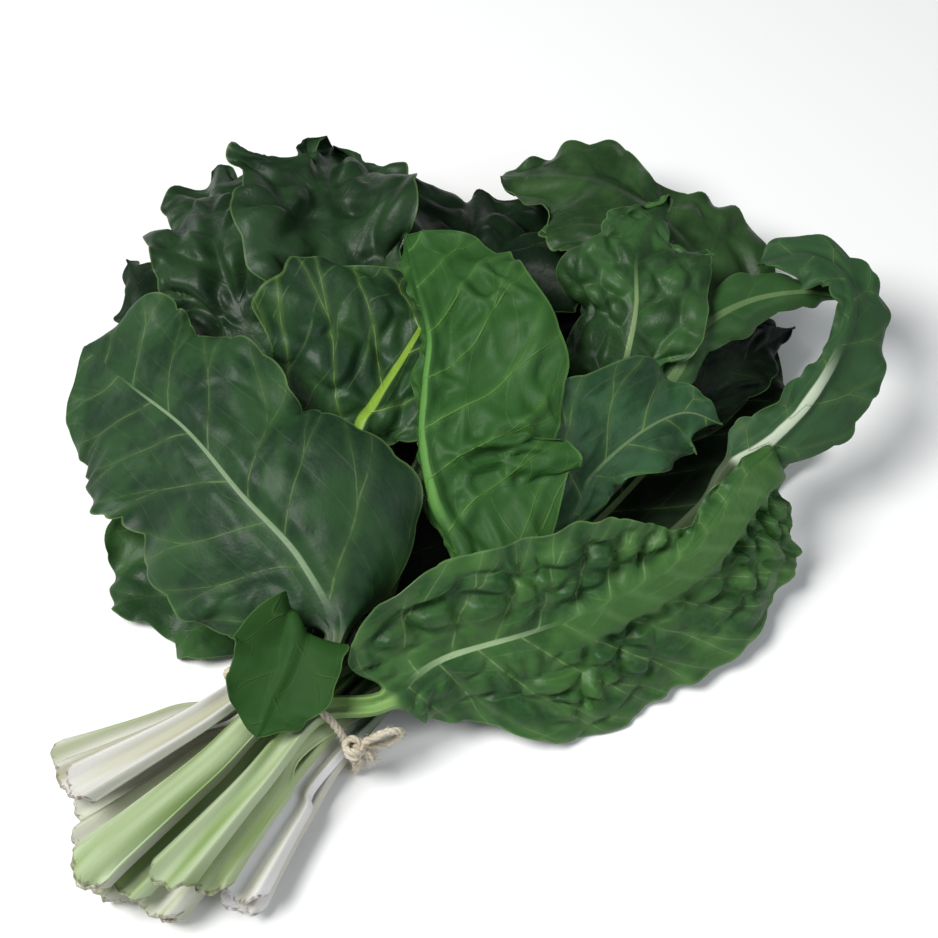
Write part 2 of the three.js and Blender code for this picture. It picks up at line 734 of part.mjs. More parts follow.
function tieGeometry() {
  const knot = new THREE.SphereGeometry(KNOT_RADIUS, 8, 6).translate(...KNOT);
  const ring = twineRing(TIE_ROUTE.map(([y, z]) => new THREE.Vector3(0, y, z)));
  const bow = twineEnd(BOW, 2 * LOOSE_STEPS);
  const ends = [SHORT_END, LONG_END].map((route) => twineEnd(route, LOOSE_STEPS));
  let solid = toSolid(ring).add(toSolid(knot));
  for (const piece of [bow, ...ends]) solid = solid.add(toSolid(piece));
  return fromSolid(solid);
}

// ---------------------------------------------------------------- the bunch

function finish(color, roughness) {
  return new THREE.MeshStandardMaterial({ color, roughness, metalness: 0 });
}

const STALK_FINISH = finish(0xb4c398, 0.45);
const BLADE_FINISH = finish(0x35502f, 0.5);
const TWINE_FINISH = finish(0xb9b49a, 0.9);

function piece(name, geometry, material) {
  const mesh = new THREE.Mesh(geometry, material);
  mesh.name = name;
  return mesh;
}

const bunch = new THREE.Group();
for (const faces of layLeaves()) {
  bunch.add(piece(faces.leaf.name, leafGeometry(faces), [STALK_FINISH, BLADE_FINISH]));
}
bunch.add(piece("tie_string", tieGeometry(), TWINE_FINISH));

// The origin is under the middle of the bunch, on the surface that it lies on.
const box = new THREE.Box3().setFromObject(bunch);
const middle = box.getCenter(new THREE.Vector3());
bunch.position.set(-middle.x, -middle.y, -box.min.z);

export default bunch;
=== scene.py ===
"""The looks of a bunch of green chard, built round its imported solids.

Every leaf is worked out from the same dimensions as its solid and laid on the pile in the same way.
It is then made fine: puckers between its veins, a ruffled and scalloped margin and a torn stalk end.
All of it is worked out in millimetres in the frame of the tie, where X is 0 in the plane of the
twine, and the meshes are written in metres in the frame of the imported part.
"""

import bpy
import numpy as np
from mathutils import Matrix, Vector


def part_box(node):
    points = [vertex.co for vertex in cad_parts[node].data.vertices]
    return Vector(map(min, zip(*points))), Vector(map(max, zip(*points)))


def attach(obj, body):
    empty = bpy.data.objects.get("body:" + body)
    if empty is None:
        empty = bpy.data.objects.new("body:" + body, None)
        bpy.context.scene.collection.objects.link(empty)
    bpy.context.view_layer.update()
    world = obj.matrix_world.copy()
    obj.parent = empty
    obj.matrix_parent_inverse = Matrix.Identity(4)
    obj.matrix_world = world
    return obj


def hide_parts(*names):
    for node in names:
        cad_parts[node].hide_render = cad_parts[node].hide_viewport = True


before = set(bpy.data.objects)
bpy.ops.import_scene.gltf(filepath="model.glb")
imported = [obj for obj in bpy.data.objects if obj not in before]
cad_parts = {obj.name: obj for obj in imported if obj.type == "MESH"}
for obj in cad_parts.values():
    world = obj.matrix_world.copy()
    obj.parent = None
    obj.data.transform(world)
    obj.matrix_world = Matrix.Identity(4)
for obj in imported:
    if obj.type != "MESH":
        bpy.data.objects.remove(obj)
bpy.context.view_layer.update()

TURN = 2 * np.pi
MM = 0.001

# ---------------------------------------------------------------- dimensions that the solids share

SKIN = 0.9  # thickness of a blade in the solids
TIE_CENTRE_Y = 21  # middle of the tied stalks
TIE_PITCH_Y = 12  # from stalk to stalk across the tie
TIE_PITCH_Z = 7  # from layer to layer in the tie
TIE_LOWEST_Z = 9  # middle of the lowest layer
CUT_LENGTH = 106  # from the tie to the cut ends
CUT_CENTRE_Y = 37.5  # middle of the cut ends, which splay
CUT_SPREAD_Y = 1.95  # how far the cut ends splay sideways, next to the tie
CUT_SPREAD_Z = 1.3  # and in height
CUT_LOWEST_Z = 6  # middle of the lowest cut end
CUT_SLANT = 1.3  # how much shorter the right stalks are cut, next to their place across
CUT_UNEVEN = 5  # how much the cut ends differ in length
UNEVEN_TURN = 2.4  # from leaf to leaf, in radians, so that neighbours differ
HALF_WAY = (0.42, 0.36, 0.45)  # along X, Y and Z from the tie to a cut end: where the stalk bends
STALK_PLACES = [-1, -0.5, 0, 1]  # cut end, half way to the tie, in it and at the blade
STALK_WIDTH = [19, 13, 9.6, 8.5]
STALK_DEPTH = [6.5, 4.8, 4.2, 4]
BELOW = 0.85  # share of a stalk's depth that lies below its groove
BELOW_ROUNDING = 0.7  # power by which the underside comes up to the margin
GROOVE = 0.28  # depth of the groove, next to the stalk's
CENTRING = 0.285  # how far the groove is raised to centre the stalk in the tie, as the same
RIB_PLACES = [0, 0.15, 0.6, 1]  # along the blade
RIB_HALF_WIDTH = [0.4 * STALK_WIDTH[3], 3, 1.8, 0.7]
RIB_DEPTH = [0.9 * STALK_DEPTH[3], 3, 1.4, 0.2]
RIB_SPREAD = 1.6  # half width over which the midrib stands out below, next to its own
RIB_MARGIN = 1.2  # of blade beside the midrib, at least
FULL_WAVE = 25  # width from which a side's wave has its full height
WAVE_LAG = 0.3  # of a wave, from the midrib to the margin
STALK_CROWDING = 0.8  # power by which columns crowd to the margin of the stalk
BLADE_CROWDING = 0.9  # and of the blade


def unit(vectors):
    return vectors / np.linalg.norm(vectors, axis=-1, keepdims=True)


LAY = unit(np.array([-0.434, -0.304, 0.848]))  # leaves lie on each other along this direction
UP = np.array([0.0, 0.0, 1.0])
BETWEEN = unit(LAY + UP)
SIDEWAYS = unit(np.array([-LAY[1], LAY[0], 0.0]))
ALONG = np.cross(LAY, SIDEWAYS)
GAP = 1.3  # left between two solids when one is laid on the other
ROWS_TO_TIE = 3
PAST_TIE = 12
ROWS_OF_BLADE = 13
BENT_WITHIN = 0.25  # of the blade, where the leaf is bent back
LAST_STALK_ROW = 0.62  # share of the way from the tie to the blade
TIED_ROWS = ROWS_TO_TIE + 2
HALF_COLUMNS = {False: 5, True: 4}  # of a solid on each side of the midrib, by whether it is small
STEPS = 24  # of a centre line between two of its points
CELL = 1  # of the height field that the solids are laid on
FIELD_SPAN = 900  # of the field's side
FIELD_START = -320  # where it begins along SIDEWAYS and ALONG
FADE = 0.95  # what is left of a rise at the next point
PASSES = 80  # over the grid, to spread the rises

# ---------------------------------------------------------------- dimensions of the fine leaves

FINE_TANGENT = 4.0  # half the length over which a direction is taken
TANGENT_BLUR = 4  # rows to either side that are averaged
NORMAL_BLUR = 5
FINE_SKIN = 0.55  # thickness of a blade
THIN_EDGE = 0.35  # and at its margin
STALK_STEP = 3.0  # from row to row on a stalk
STALK_SHARE = 2  # one column in so many goes down the stalk
FINE_CELL = 1.6  # and for the fine leaves the cell, the gap, the fade and the passes
FINE_GAP = 0.35
FINE_FADE = 0.997
FINE_PASSES = 260
SCALLOP_PITCH = 15  # along the margin
RUFFLE_PITCH = 24
CREASE = 0.6  # half width of the crease between two blisters, next to their size
NARROWEST = 0.4  # width of a side, at its tip
LIFT_BLUR = 9  # length over which the solid's rises are smoothed
LIFT_START = 15  # length over which they come in
NECK_START = -5  # from the tie, where the stalk takes the neck's colour
NECK_LENGTH = 20  # over which it does
SHARP = np.radians(60)  # angle from which an edge is shaded sharp
ROLL_HEIGHT = 0.5  # of a stalk's margins, next to its depth
ROLL_DROP = 0.85  # and how far they come down again
TEAR = 13  # the length of stalk that its torn end takes in
SLANT = 3.5  # of the torn end, at most
RAGGED = 1.3  # depth of its raggedness
BLEND = 12  # the stalk's section turns into the blade's over 1/12 of the blade

# ---------------------------------------------------------------- the leaves

# What a leaf, a side of it and its surface have where the table doesn't say otherwise.
LEAF = dict(
    lead=[],
    facing=LAY,  # the way of the upper face
    turned=False,  # with the lower face up
    bent_back=False,  # over the stalk, which turns the lower face up too
    small=False,  # with fewer columns in its solid
    look={},
)
SIDE = dict(
    sweep=[-0.2, 0.2, 0.35, 0],  # how far it reaches to the tip for its way out
    fold=[0, 0, 0],
    curl=[0, 0, 0],
    lobe=0.05,  # depth of its lobes, next to its width
    lobes=3.3,
    wave=4,  # height of its waves
    waves=3,
    phase=0,  # where lobes and waves begin
)
LOOK = dict(
    grain=1.3,  # from row to row and column to column
    tip=0.09,  # share of the blade over which the tip is rounded off
    scallop=1.6,  # depth of the margin's scallops
    blister=0.8,  # height of the blisters
    cell=15,  # and their size
    calm=0.75,  # share of the way out where they start to fade
    furrow=0.8,  # depth of the side veins' furrows
    ruffle=1.6,  # height of the short waves of the margin
    swell=2.2,  # height of the long, slow unevenness
    ridge=None,  # a smooth fold beside the midrib
    spacing=23,  # between side veins
    rung=13,  # between the cross veins that join them
    lean=0.7,  # how far a side vein runs to the tip for its way out
    veined=0.35,  # how clearly its side veins show
    ribbed=0.8,  # and its midrib
    rib_start=0.0,  # shares of the blade between which the midrib shows
    rib_end=1.0,
    rib_width=1.0,
    gloss=0.36,  # roughness of the upper face
    shine=0.2,  # and its specular level
    wrinkle=1.3,  # height of the finest wrinkles, in the shading alone
    top=0x203A1E,  # the upper face
    light=0x305228,  # its blotches
    low=0x3C602E,  # the lower face
    vein=0x749454,
    rib=0x90A872,
    stalk=0xD0CFC6,
    streak=0x9EA884,
    neck=0x304C24,  # the stalk next to the blade; this dark green is painted shade, where it runs into the gaps under the blades
)
PALE_STALK = dict(stalk=0xD6D4D2, streak=0xB0B098)
# The stalk's own white, made paler still: painted light for stalks that lie in shade.
WHITE_STALK_PAINTED_LIGHTER = dict(stalk=0xECEAEE, streak=0xC8C6B8)
GREENISH_STALK = dict(stalk=0xBAC89E, streak=0x809A54)
GREEN_STALK = dict(stalk=0xB0BE9C, streak=0x789054)
GREEN_NECK = dict(GREEN_STALK, neck=0x749854)
SHADED = dict(top=0x122010, light=0x1A2C16)
CRINKLED = dict(
    veined=0.0, ribbed=0.0, blister=5.5, cell=21, swell=7, scallop=2.6, tip=0.2, ruffle=3,
    top=0x182B19, light=0x243D22, low=0x243D22,
)
# Painted shade: the leaves at the back get near-black greens for the shade they lie in.
SHADED_AT_THE_BACK = dict(CRINKLED, blister=3, shine=0.1, top=0x101E12, light=0x182A18)

# slot: place in the tie, in steps across and layers up. lead and rib: points of the centre line,
# to the blade and along it. edge: widths of a side from the blade's start to its tip. fold: degrees
# by which it is raised at the midrib. curl: degrees by which it turns up further on its way out.
LEAVES = dict(
    leaf_under_right=dict(
        slot=(-2, 0), facing=UP,
        rib=[(56, -8, 12), (98, -19, 8), (159, -30, 8), (224, -36, 12), (279, -42, 16)],
        left=dict(edge=[5, 38, 50, 52, 40, 3], phase=0.1),
        right=dict(edge=[5, 38, 50, 52, 40, 3], phase=0.6),
        look=dict(SHADED, **WHITE_STALK_PAINTED_LIGHTER),
    ),
    leaf_under_middle=dict(
        slot=(-1, 0), facing=UP,
        rib=[(50, 17, 9), (96, 33, 9), (160, 60, 9), (227, 88, 12), (269, 104, 18)],
        left=dict(edge=[5, 42, 50, 52, 40, 3], phase=0.3),
        right=dict(edge=[5, 40, 48, 52, 40, 3], phase=0.8),
        look=SHADED,
    ),
    leaf_lobed_left=dict(
        slot=(1, 0), facing=UP,
        rib=[(22, 44, 9), (29, 74, 9), (33, 107, 9), (38, 146, 9)],
        left=dict(
            edge=[5, 22, 30, 30, 22, 2], phase=0.2, wave=5, lobe=0.12, fold=[-10, -10, -10],
            curl=[-10, -10, -10], sweep=[-0.3, 0, 0.2, 0],
        ),
        right=dict(edge=[5, 25, 34, 34, 24, 2], phase=0.7),
        look=dict(veined=0.15, ribbed=0.3, blister=1.4, scallop=2.6, top=0x203A22),
    ),
    leaf_back_left=dict(
        slot=(2, 1), facing=BETWEEN,
        rib=[(72, 93, 18), (99, 154, 26), (118, 193, 30), (138, 225, 20)],
        left=dict(edge=[5, 26, 32, 30, 20, 2], phase=0.5, fold=[0, -10, -20], curl=[0, -20, -50]),
        right=dict(edge=[5, 26, 32, 30, 20, 2], phase=0.9, curl=[10, 30, 30]),
        look=dict(SHADED_AT_THE_BACK, swell=5),
    ),
    leaf_back_middle=dict(
        slot=(0, 0),
        rib=[(141, 48, 26), (182, 65, 40), (213, 82, 50), (258, 107, 34)],
        left=dict(edge=[5, 30, 38, 40, 34, 8], phase=0.6, wave=6, fold=[20, 20, 10], curl=[10, 10, -20]),
        right=dict(edge=[5, 34, 50, 60, 56, 14], phase=0.2, wave=6, fold=[10, 0, 0], curl=[10, 20, -20]),
        look=SHADED_AT_THE_BACK,
    ),
    leaf_back_folded=dict(
        slot=(-2, 1),
        rib=[(191, -30, 24), (235, -20, 36), (264, -10, 44), (278, 20, 48), (281, 60, 48), (266, 101, 38)],
        left=dict(edge=[5, 26, 38, 46, 44, 34, 17], phase=0.2, fold=[10, 0, 0], curl=[10, 20, 50]),
        right=dict(
            edge=[5, 26, 32, 35, 20, 26, 14], phase=0.8, fold=[0, -10, -10], curl=[-10, -20, -30],
        ),
        look=dict(
            veined=0.05, ribbed=0.0, blister=3, cell=20, swell=6, tip=0.2, scallop=2.4, ruffle=2.4,
            top=0x20371C, light=0x2E4B26, low=0x38552D, **WHITE_STALK_PAINTED_LIGHTER,
        ),
    ),
    leaf_small_dark=dict(
        slot=(-1, 1), small=True,
        rib=[(180, -21, 22), (217, -33, 30), (242, -45, 38), (277, -52, 28)],
        left=dict(edge=[4, 14, 20, 18, 12, 2], phase=0.4, fold=[20, 20, 20], curl=[10, 10, 20]),
        right=dict(edge=[4, 14, 18, 16, 10, 2], phase=0.9, curl=[-20, -30, -20]),
        # Its near-black greens are painted shade, for a leaf that lies deep in the pile.
        look=dict(
            veined=0.05, ribbed=0.0, scallop=2.4, tip=0.15, blister=3, cell=16, swell=3, top=0x08120A,
            light=0x101E12, low=0x101E12, shine=0.1,
        ),
    ),
    leaf_crinkled_left=dict(
        slot=(1, 1),
        rib=[(95, 75, 28), (116, 117, 44), (128, 147, 58), (152, 178, 62), (196, 213, 40)],
        left=dict(
            edge=[5, 26, 32, 28, 34, 18], phase=0.15, wave=7, lobe=0.1, fold=[0, 0, -10],
            curl=[0, -20, -40],
        ),
        right=dict(edge=[5, 20, 26, 30, 32, 16], phase=0.5, wave=7, fold=[10, 20, 10], curl=[20, 10, 0]),
        look=CRINKLED,
    ),
    leaf_crinkled_right=dict(
        slot=(0, 1),
        rib=[(123, 63, 28), (153, 99, 46), (171, 122, 60), (196, 146, 63), (234, 174, 40)],
        left=dict(edge=[5, 26, 32, 38, 38, 18], phase=0.65, wave=7, curl=[0, 10, -20]),
        right=dict(edge=[5, 26, 34, 38, 36, 16], phase=0.3, wave=7, fold=[0, 0, -10], curl=[-10, -20, -40]),
        look=CRINKLED,
    ),
    leaf_narrow=dict(
        slot=(-0.5, 2), small=True,
        rib=[(195, -21, 34), (232, -22, 46), (255, -33, 54), (273, -52, 58), (287, -71, 52)],
        left=dict(edge=[4, 10, 14, 13, 9, 2], phase=0.2, curl=[-20, -40, -60]),
        right=dict(edge=[4, 10, 13, 12, 8, 2], phase=0.6, curl=[-20, -40, -60]),
        look=dict(veined=0.1, ribbed=0.3, top=0x2A4A26, **GREEN_NECK),
    ),
    leaf_small_crinkled=dict(
        slot=(-1.5, 2), small=True,
        rib=[(170, -16, 30), (200, -7, 48), (221, 1, 60), (246, 16, 68), (282, 22, 62)],
        left=dict(
            edge=[4, 26, 40, 40, 28, 6], phase=0.3, wave=5, fold=[-10, -20, -20], curl=[-30, -50, -50],
        ),
        right=dict(edge=[4, 16, 28, 34, 26, 6], phase=0.75, wave=5, fold=[0, 10, 0], curl=[0, -20, -40]),
        look=dict(
            veined=0.1, ribbed=0.6, blister=3.2, cell=14, swell=5, tip=0.25, scallop=2.4, rib_start=0.35,
            rib_end=0.6, rib_width=0.7, top=0x223C20, light=0x33562C, **GREENISH_STALK,
        ),
    ),
    leaf_blue_green=dict(
        slot=(0, 3),
        rib=[(123, -20, 32), (150, -24, 44), (175, -32, 52), (194, -42, 52), (203, -56, 44)],
        left=dict(edge=[4, 30, 38, 31, 17, 2], phase=0.15, wave=3, fold=[10, 15, 10], curl=[0, 0, -20]),
        right=dict(edge=[4, 10, 15, 22, 19, 2], phase=0.5, fold=[-10, -10, 0], curl=[-10, -10, -10]),
        look=dict(
            veined=0.6, spacing=20, top=0x24432A, light=0x315835, ribbed=0.35, rib_start=0.3, scallop=2.4,
            rib_width=0.5, blister=1.4, swell=3.4,
        ),
    ),
    leaf_ring=dict(
        slot=(-1.5, 3), turned=True, small=True, lead=[(118, -56, 36), (163, -70, 38)],
        rib=[
            (184, -70, 45), (204, -79, 53), (223, -83, 60), (247, -82, 66), (270, -76, 68), (286, -62, 64),
            (290, -43, 58), (280, -27, 50),
        ],
        left=dict(
            edge=[6, 14, 25, 24, 24, 21, 16, 13, 4], phase=0.2, wave=3, fold=[10, 10, 10],
            curl=[10, 20, 30],
        ),
        right=dict(
            edge=[9, 15, 12, 9, 6, 9, 16, 16, 4], phase=0.6, wave=3, fold=[10, 0, 0], curl=[0, 20, 20],
        ),
        look=dict(
            veined=0.4, low=0x2C4C2C, rib=0xC4D0B8, rib_end=0.37, scallop=2.4, blister=1.4, cell=18,
            # The near-black neck is painted shade on the stalk where it runs under the next leaf.
            neck=0x1C2E18, **GREENISH_STALK,
        ),
    ),
    leaf_inner_left=dict(
        slot=(0.5, 2),
        rib=[(107, 69, 34), (128, 71, 44), (153, 72, 52), (172, 75, 52), (190, 80, 46)],
        left=dict(
            edge=[6, 50, 67, 62, 46, 3], phase=0.1, fold=[10, 10, 0], curl=[10, 0, 0], sweep=[0, 0, 0, 0],
        ),
        right=dict(edge=[6, 24, 30, 30, 20, 3], phase=0.4, fold=[20, 20, 10]),
        look=dict(
            veined=0.8, blister=2.6, cell=17, furrow=1.6, spacing=33, lean=1.1, top=0x1C3420,
            light=0x274524, vein=0x7EA254, rib=0x93B83E, scallop=2.2,
        ),
    ),
    leaf_centre=dict(
        slot=(0, 4), turned=True,
        rib=[
            (76, -10, 40), (97, 17, 56), (113, 34, 66), (133, 47, 74), (149, 57, 80), (168, 78, 82),
            (188, 98, 76),
        ],
        left=dict(
            edge=[8, 50, 60, 60, 52, 42, 17], phase=0.45, wave=3, fold=[0, 10, 0], curl=[10, 10, 10],
            sweep=[-0.4, 0, 0.3, 0.1],
        ),
        right=dict(edge=[5, 12, 14, 14, 12, 8, 3], phase=0.8, fold=[40, 50, 40], curl=[30, 30, 30]),
        look=dict(
            veined=0.6, blister=3.6, furrow=2.6, swell=5, rung=17, scallop=1.4,
            rib_start=0.22, rib_end=0.66, rib_width=0.6, top=0x19361C, light=0x274921, low=0x2A5022,
            vein=0x669446, rib=0x588A3C, **GREEN_STALK,
        ),
    ),
    leaf_front_left=dict(
        slot=(1, 4),
        rib=[(26, 16, 46), (42, 43, 59), (50, 80, 66), (61, 117, 66), (69, 156, 56), (79, 194, 42)],
        left=dict(
            edge=[6, 45, 56, 53, 53, 50, 40, 10], phase=0.15, wave=3, fold=[-5, -10, -10],
            curl=[-20, -10, -10], sweep=[0, 0.1, 0.3, 0],
        ),
        right=dict(
            edge=[8, 32, 57, 55, 50, 47, 44, 42, 41, 40, 39, 30, 10], phase=0.3, fold=[5, 5, 0],
            curl=[-60, -30, -20], sweep=[-0.2, 0.2, 0.3, 0],
        ),
        look=dict(
            wrinkle=0.9, gloss=0.4, swell=3.8, scallop=3.2, tip=0.12, spacing=27,
            rib_start=0.12, rib_end=0.75, rib_width=0.6, top=0x19301E, light=0x254424, rib=0x78906C,
            **PALE_STALK,
        ),
    ),
    leaf_front_right=dict(
        slot=(-1.25, 4),
        rib=[
            (18, -13, 40), (44, -22, 44), (76, -45, 44), (102, -60, 46), (144, -76, 46), (186, -73, 41),
            (207, -75, 36),
        ],
        left=dict(
            edge=[8, 38, 40, 35, 9, 6, 6], phase=0.35, wave=3, fold=[20, 25, 20], curl=[10, 0, -20],
            sweep=[-0.9, -0.1, 0.3, 0],
        ),
        right=dict(
            edge=[8, 34, 50, 56, 49, 50, 30], phase=0.1, wave=3, fold=[-15, -15, -10], curl=[-15, -15, -20],
            sweep=[-0.4, 0.1, 0.3, 0],
        ),
        look=dict(
            veined=0.7, blister=7, cell=12, calm=0.62, furrow=3, swell=3, spacing=17, rung=15,
            rib_start=0.13, rib_end=0.3, tip=0.14, rib_width=0.6, scallop=1.2, top=0x224422, light=0x3A602E,
            low=0x406530, vein=0x789A60, rib=0xA4BC90, ridge=dict(start=0.30, height=3.5, shift=-6, half=8),
            **GREEN_NECK,
        ),
    ),
    leaf_over_tie=dict(
        slot=(1.5, 2), bent_back=True, small=True, lead=[(13, 42, 28), (24, 42, 38)],
        rib=[(25, 36, 48), (19, 28, 53), (5, 22, 53), (-9, 19, 51), (-23, 16, 45)],
        left=dict(edge=[8, 20, 22, 19, 15, 7], phase=0.2, wave=2, curl=[-20, -20, 0]),
        right=dict(edge=[8, 20, 22, 20, 15, 7], phase=0.5, wave=2, curl=[-20, -20, 0]),
        look=dict(
            wrinkle=0.7, gloss=0.45, shine=0.12, veined=0.12, ribbed=0.0, blister=0.4, furrow=0.3,
            scallop=1.4, tip=0.2, swell=1.2, top=0x20401C, low=0x24461C, light=0x2A5022, **PALE_STALK,
        ),
    ),
)

# ---------------------------------------------------------------- curves


def spline(a, b, c, d, f):
    square = (2 * a - 5 * b + 4 * c - d) * f**2
    cube = (3 * b - a - 3 * c + d) * f**3
    return 0.5 * (2 * b + (c - a) * f + square + cube)


def smooth_line(points, steps=STEPS):
    """Catmull-Rom through the points: a dense polyline, and the arc length at each of its points."""
    points = np.array(points, float)
    padded = np.vstack([2 * points[0] - points[1], points, 2 * points[-1] - points[-2]])
    share = (np.arange(steps) / steps)[:, None]
    spans = [spline(*padded[i - 1 : i + 3], share) for i in range(1, len(padded) - 2)]
    line = np.vstack([*spans, points[-1:]])
    return line, arc_lengths(line)


def arc_lengths(line):
    return np.concatenate([[0], np.cumsum(np.linalg.norm(np.diff(line, axis=0), axis=1))])


def point_at(curve, lengths):
    line, arc = curve
    return np.stack([np.interp(lengths, arc, line[:, k]) for k in range(3)], axis=-1)


def eased(values, t):
    """Evenly spaced values, eased from one to the next."""
    x = np.clip(t, 0, 1) * (len(values) - 1)
    i = np.minimum(np.floor(x).astype(int), len(values) - 2)
    ease = smoothstep(x - i)
    values = np.array(values, float)
    return values[i] * (1 - ease) + values[i + 1] * ease


def curved(values, t):
    """Evenly spaced values, on one smooth curve through all."""
    values = np.array(values, float)
    padded = np.concatenate([[2 * values[0] - values[1]], values, [2 * values[-1] - values[-2]]])
    x = np.clip(t, 0, 1) * (len(values) - 1)
    i = np.minimum(np.floor(x).astype(int), len(values) - 2)
    return spline(padded[i], padded[i + 1], padded[i + 2], padded[i + 3], x - i)


def smoothstep(x):
    x = np.clip(x, 0, 1)
    return x * x * (3 - 2 * x)


def blurred(values, reach):
    """A running mean along the first axis, over reach rows on either side."""
    padded = np.concatenate([values[:1]] * reach + [values] + [values[-1:]] * reach)
    total = np.cumsum(np.concatenate([np.zeros_like(padded[:1]), padded]), axis=0)
    span = 2 * reach + 1
    return (total[span:] - total[:-span]) / span


TILE = 64  # noise and blisters repeat after so many units


def noise(u, v, seed):
    """Smooth bumps from -1 to 1, about one a unit, the same on each run."""
    table = np.random.default_rng(seed).uniform(-1, 1, (TILE, TILE))
    i = np.floor(u).astype(int)
    j = np.floor(v).astype(int)
    f = u - i
    g = v - j
    f = f**3 * (f * (6 * f - 15) + 10)
    g = g**3 * (g * (6 * g - 15) + 10)
    i, j, after_i, after_j = i % TILE, j % TILE, (i + 1) % TILE, (j + 1) % TILE
    low = table[i, j] * (1 - f) + table[after_i, j] * f
    high = table[i, after_j] * (1 - f) + table[after_i, after_j] * f
    return low * (1 - g) + high * g


def blisters(u, v, seed):
    """Rounded cells, about one a unit, from 0 in the creases between them to 1."""
    shift_u, shift_v = np.random.default_rng(seed).uniform(0.05, 0.95, (2, TILE, TILE))
    i = np.floor(u).astype(int)
    j = np.floor(v).astype(int)
    first = np.full(i.shape, 9.0)
    second = first
    for di in (-1, 0, 1):
        for dj in (-1, 0, 1):
            cell = (i + di) % TILE, (j + dj) % TILE
            away = np.hypot(i + di + shift_u[cell] - u, j + dj + shift_v[cell] - v)
            second = np.minimum(second, np.maximum(away, first))
            first = np.minimum(first, away)
    return smoothstep((second - first) / CREASE)


def moved(points, way, far):
    """The points, each moved along a way by its own distance."""
    return points + way * far[..., None]


# ---------------------------------------------------------------- one leaf, as its solid has it


def centre_points(number, leaf):
    """The centre line's points: cut end, half way, tie, any lead to the blade, then the midrib."""
    across, layer = leaf["slot"]
    y = TIE_CENTRE_Y + across * TIE_PITCH_Y
    z = TIE_LOWEST_Z + layer * TIE_PITCH_Z
    cut_y = CUT_CENTRE_Y + across * TIE_PITCH_Y * CUT_SPREAD_Y
    cut_z = CUT_LOWEST_Z + layer * TIE_PITCH_Z * CUT_SPREAD_Z
    uneven = CUT_UNEVEN * np.sin(UNEVEN_TURN * number)
    length = CUT_LENGTH + min(across, 0) * TIE_PITCH_Y * CUT_SLANT + uneven
    cut_x = -np.sqrt(length**2 - cut_y**2)
    half_x, half_y, half_z = HALF_WAY
    half_way = (half_x * cut_x, y + half_y * (cut_y - y), z + half_z * (cut_z - z))
    return [(cut_x, cut_y, cut_z), half_way, (0, y, z), *leaf["lead"], *leaf["rib"]]


class Centre:
    """A leaf's centre line, with the lengths along it at the tie, the blade's start and the tip."""

    def __init__(self, number, name, leaf):
        self.number = number
        self.name = name
        self.leaf = {**LEAF, **leaf}
        self.half_columns = HALF_COLUMNS[self.leaf["small"]]
        self.curve = smooth_line(centre_points(number, self.leaf))
        arc = self.curve[1]
        self.tie = arc[2 * STEPS]
        self.blade = arc[(3 + len(self.leaf["lead"])) * STEPS]
        self.tip = arc[-1]
        run = self.blade - self.tie
        rows = [self.tie * i / ROWS_TO_TIE for i in range(ROWS_TO_TIE)]
        rows += [self.tie, self.tie + min(PAST_TIE, run / 3), self.tie + LAST_STALK_ROW * run]
        self.rows = np.concatenate([rows, np.linspace(self.blade, self.tip, ROWS_OF_BLADE)])
        self.row_normals = self.turn_normals()

    def shares(self, lengths):
        """Shares of the way: -1 at the cut end, 0 in the tie, 1 at the blade; then 0 to 1 along it."""
        before = lengths / self.tie - 1
        after = np.minimum((lengths - self.tie) / (self.blade - self.tie), 1)
        along = (lengths - self.blade) / (self.tip - self.blade)
        return np.where(lengths <= self.tie, before, after), np.where(lengths < self.blade, -1, along)

    def tangents(self, lengths, step=0.5):
        return unit(point_at(self.curve, lengths + step) - point_at(self.curve, lengths - step))

    def turn_normals(self):
        """The upper face's direction at the solid's rows: up on the stalk, the leaf's own way after."""
        stalk, blade = self.shares(self.rows)
        facing = self.leaf["facing"]
        normals = []
        normal = UP
        for s, b, tangent in zip(stalk, blade, self.tangents(self.rows)):
            if self.leaf["bent_back"]:
                turn = np.clip(b / BENT_WITHIN, 0, 1)
                normal = normal * (1 - turn) - facing * turn
            else:
                turn = max(s, 0)
                normal = UP * (1 - turn) + facing * turn
                normal = -normal if self.leaf["turned"] else normal
            normal = unit(normal - tangent * (normal @ tangent))
            normals.append(normal)
        return np.array(normals)


class Stations:
    """Places along a leaf with their own directions, each as a column to go with a row of points."""

    def __init__(self, centre, lengths, fine=False):
        self.stalk, self.blade = (share[:, None] for share in centre.shares(lengths))
        self.place = point_at(centre.curve, lengths)[:, None]
        if fine:
            tangent = unit(blurred(centre.tangents(lengths, FINE_TANGENT), TANGENT_BLUR))
            columns = [np.interp(lengths, centre.rows, column) for column in centre.row_normals.T]
            normal = blurred(np.stack(columns, axis=-1), NORMAL_BLUR)
            normal = unit(normal - tangent * np.sum(normal * tangent, axis=-1, keepdims=True))
        else:
            tangent = centre.tangents(lengths)
            normal = centre.row_normals
        self.tangent, self.normal = tangent[:, None], normal[:, None]
        self.left = np.cross(self.normal, self.tangent)


def stalk_shares(steps, half_columns):
    """How far out across the stalk each column is, from -1, right, to 1."""
    return np.sign(steps) * np.abs(steps / half_columns) ** STALK_CROWDING


def stalk_grid(st, q):
    """The stalk is a crescent, grooved above and round below."""
    width = np.interp(st.stalk, STALK_PLACES, STALK_WIDTH)
    depth = np.interp(st.stalk, STALK_PLACES, STALK_DEPTH)
    centring = CENTRING * depth * np.minimum(1, 1 - st.stalk)
    groove = GROOVE * depth * q**2 + centring
    x = q * width / 2
    point = moved(moved(st.place, st.left, x), st.normal, groove)
    below = BELOW * depth * np.maximum(1 - q**2, 0) ** BELOW_ROUNDING
    return dict(point=point, below=below, x=x, q=q + 0 * width)


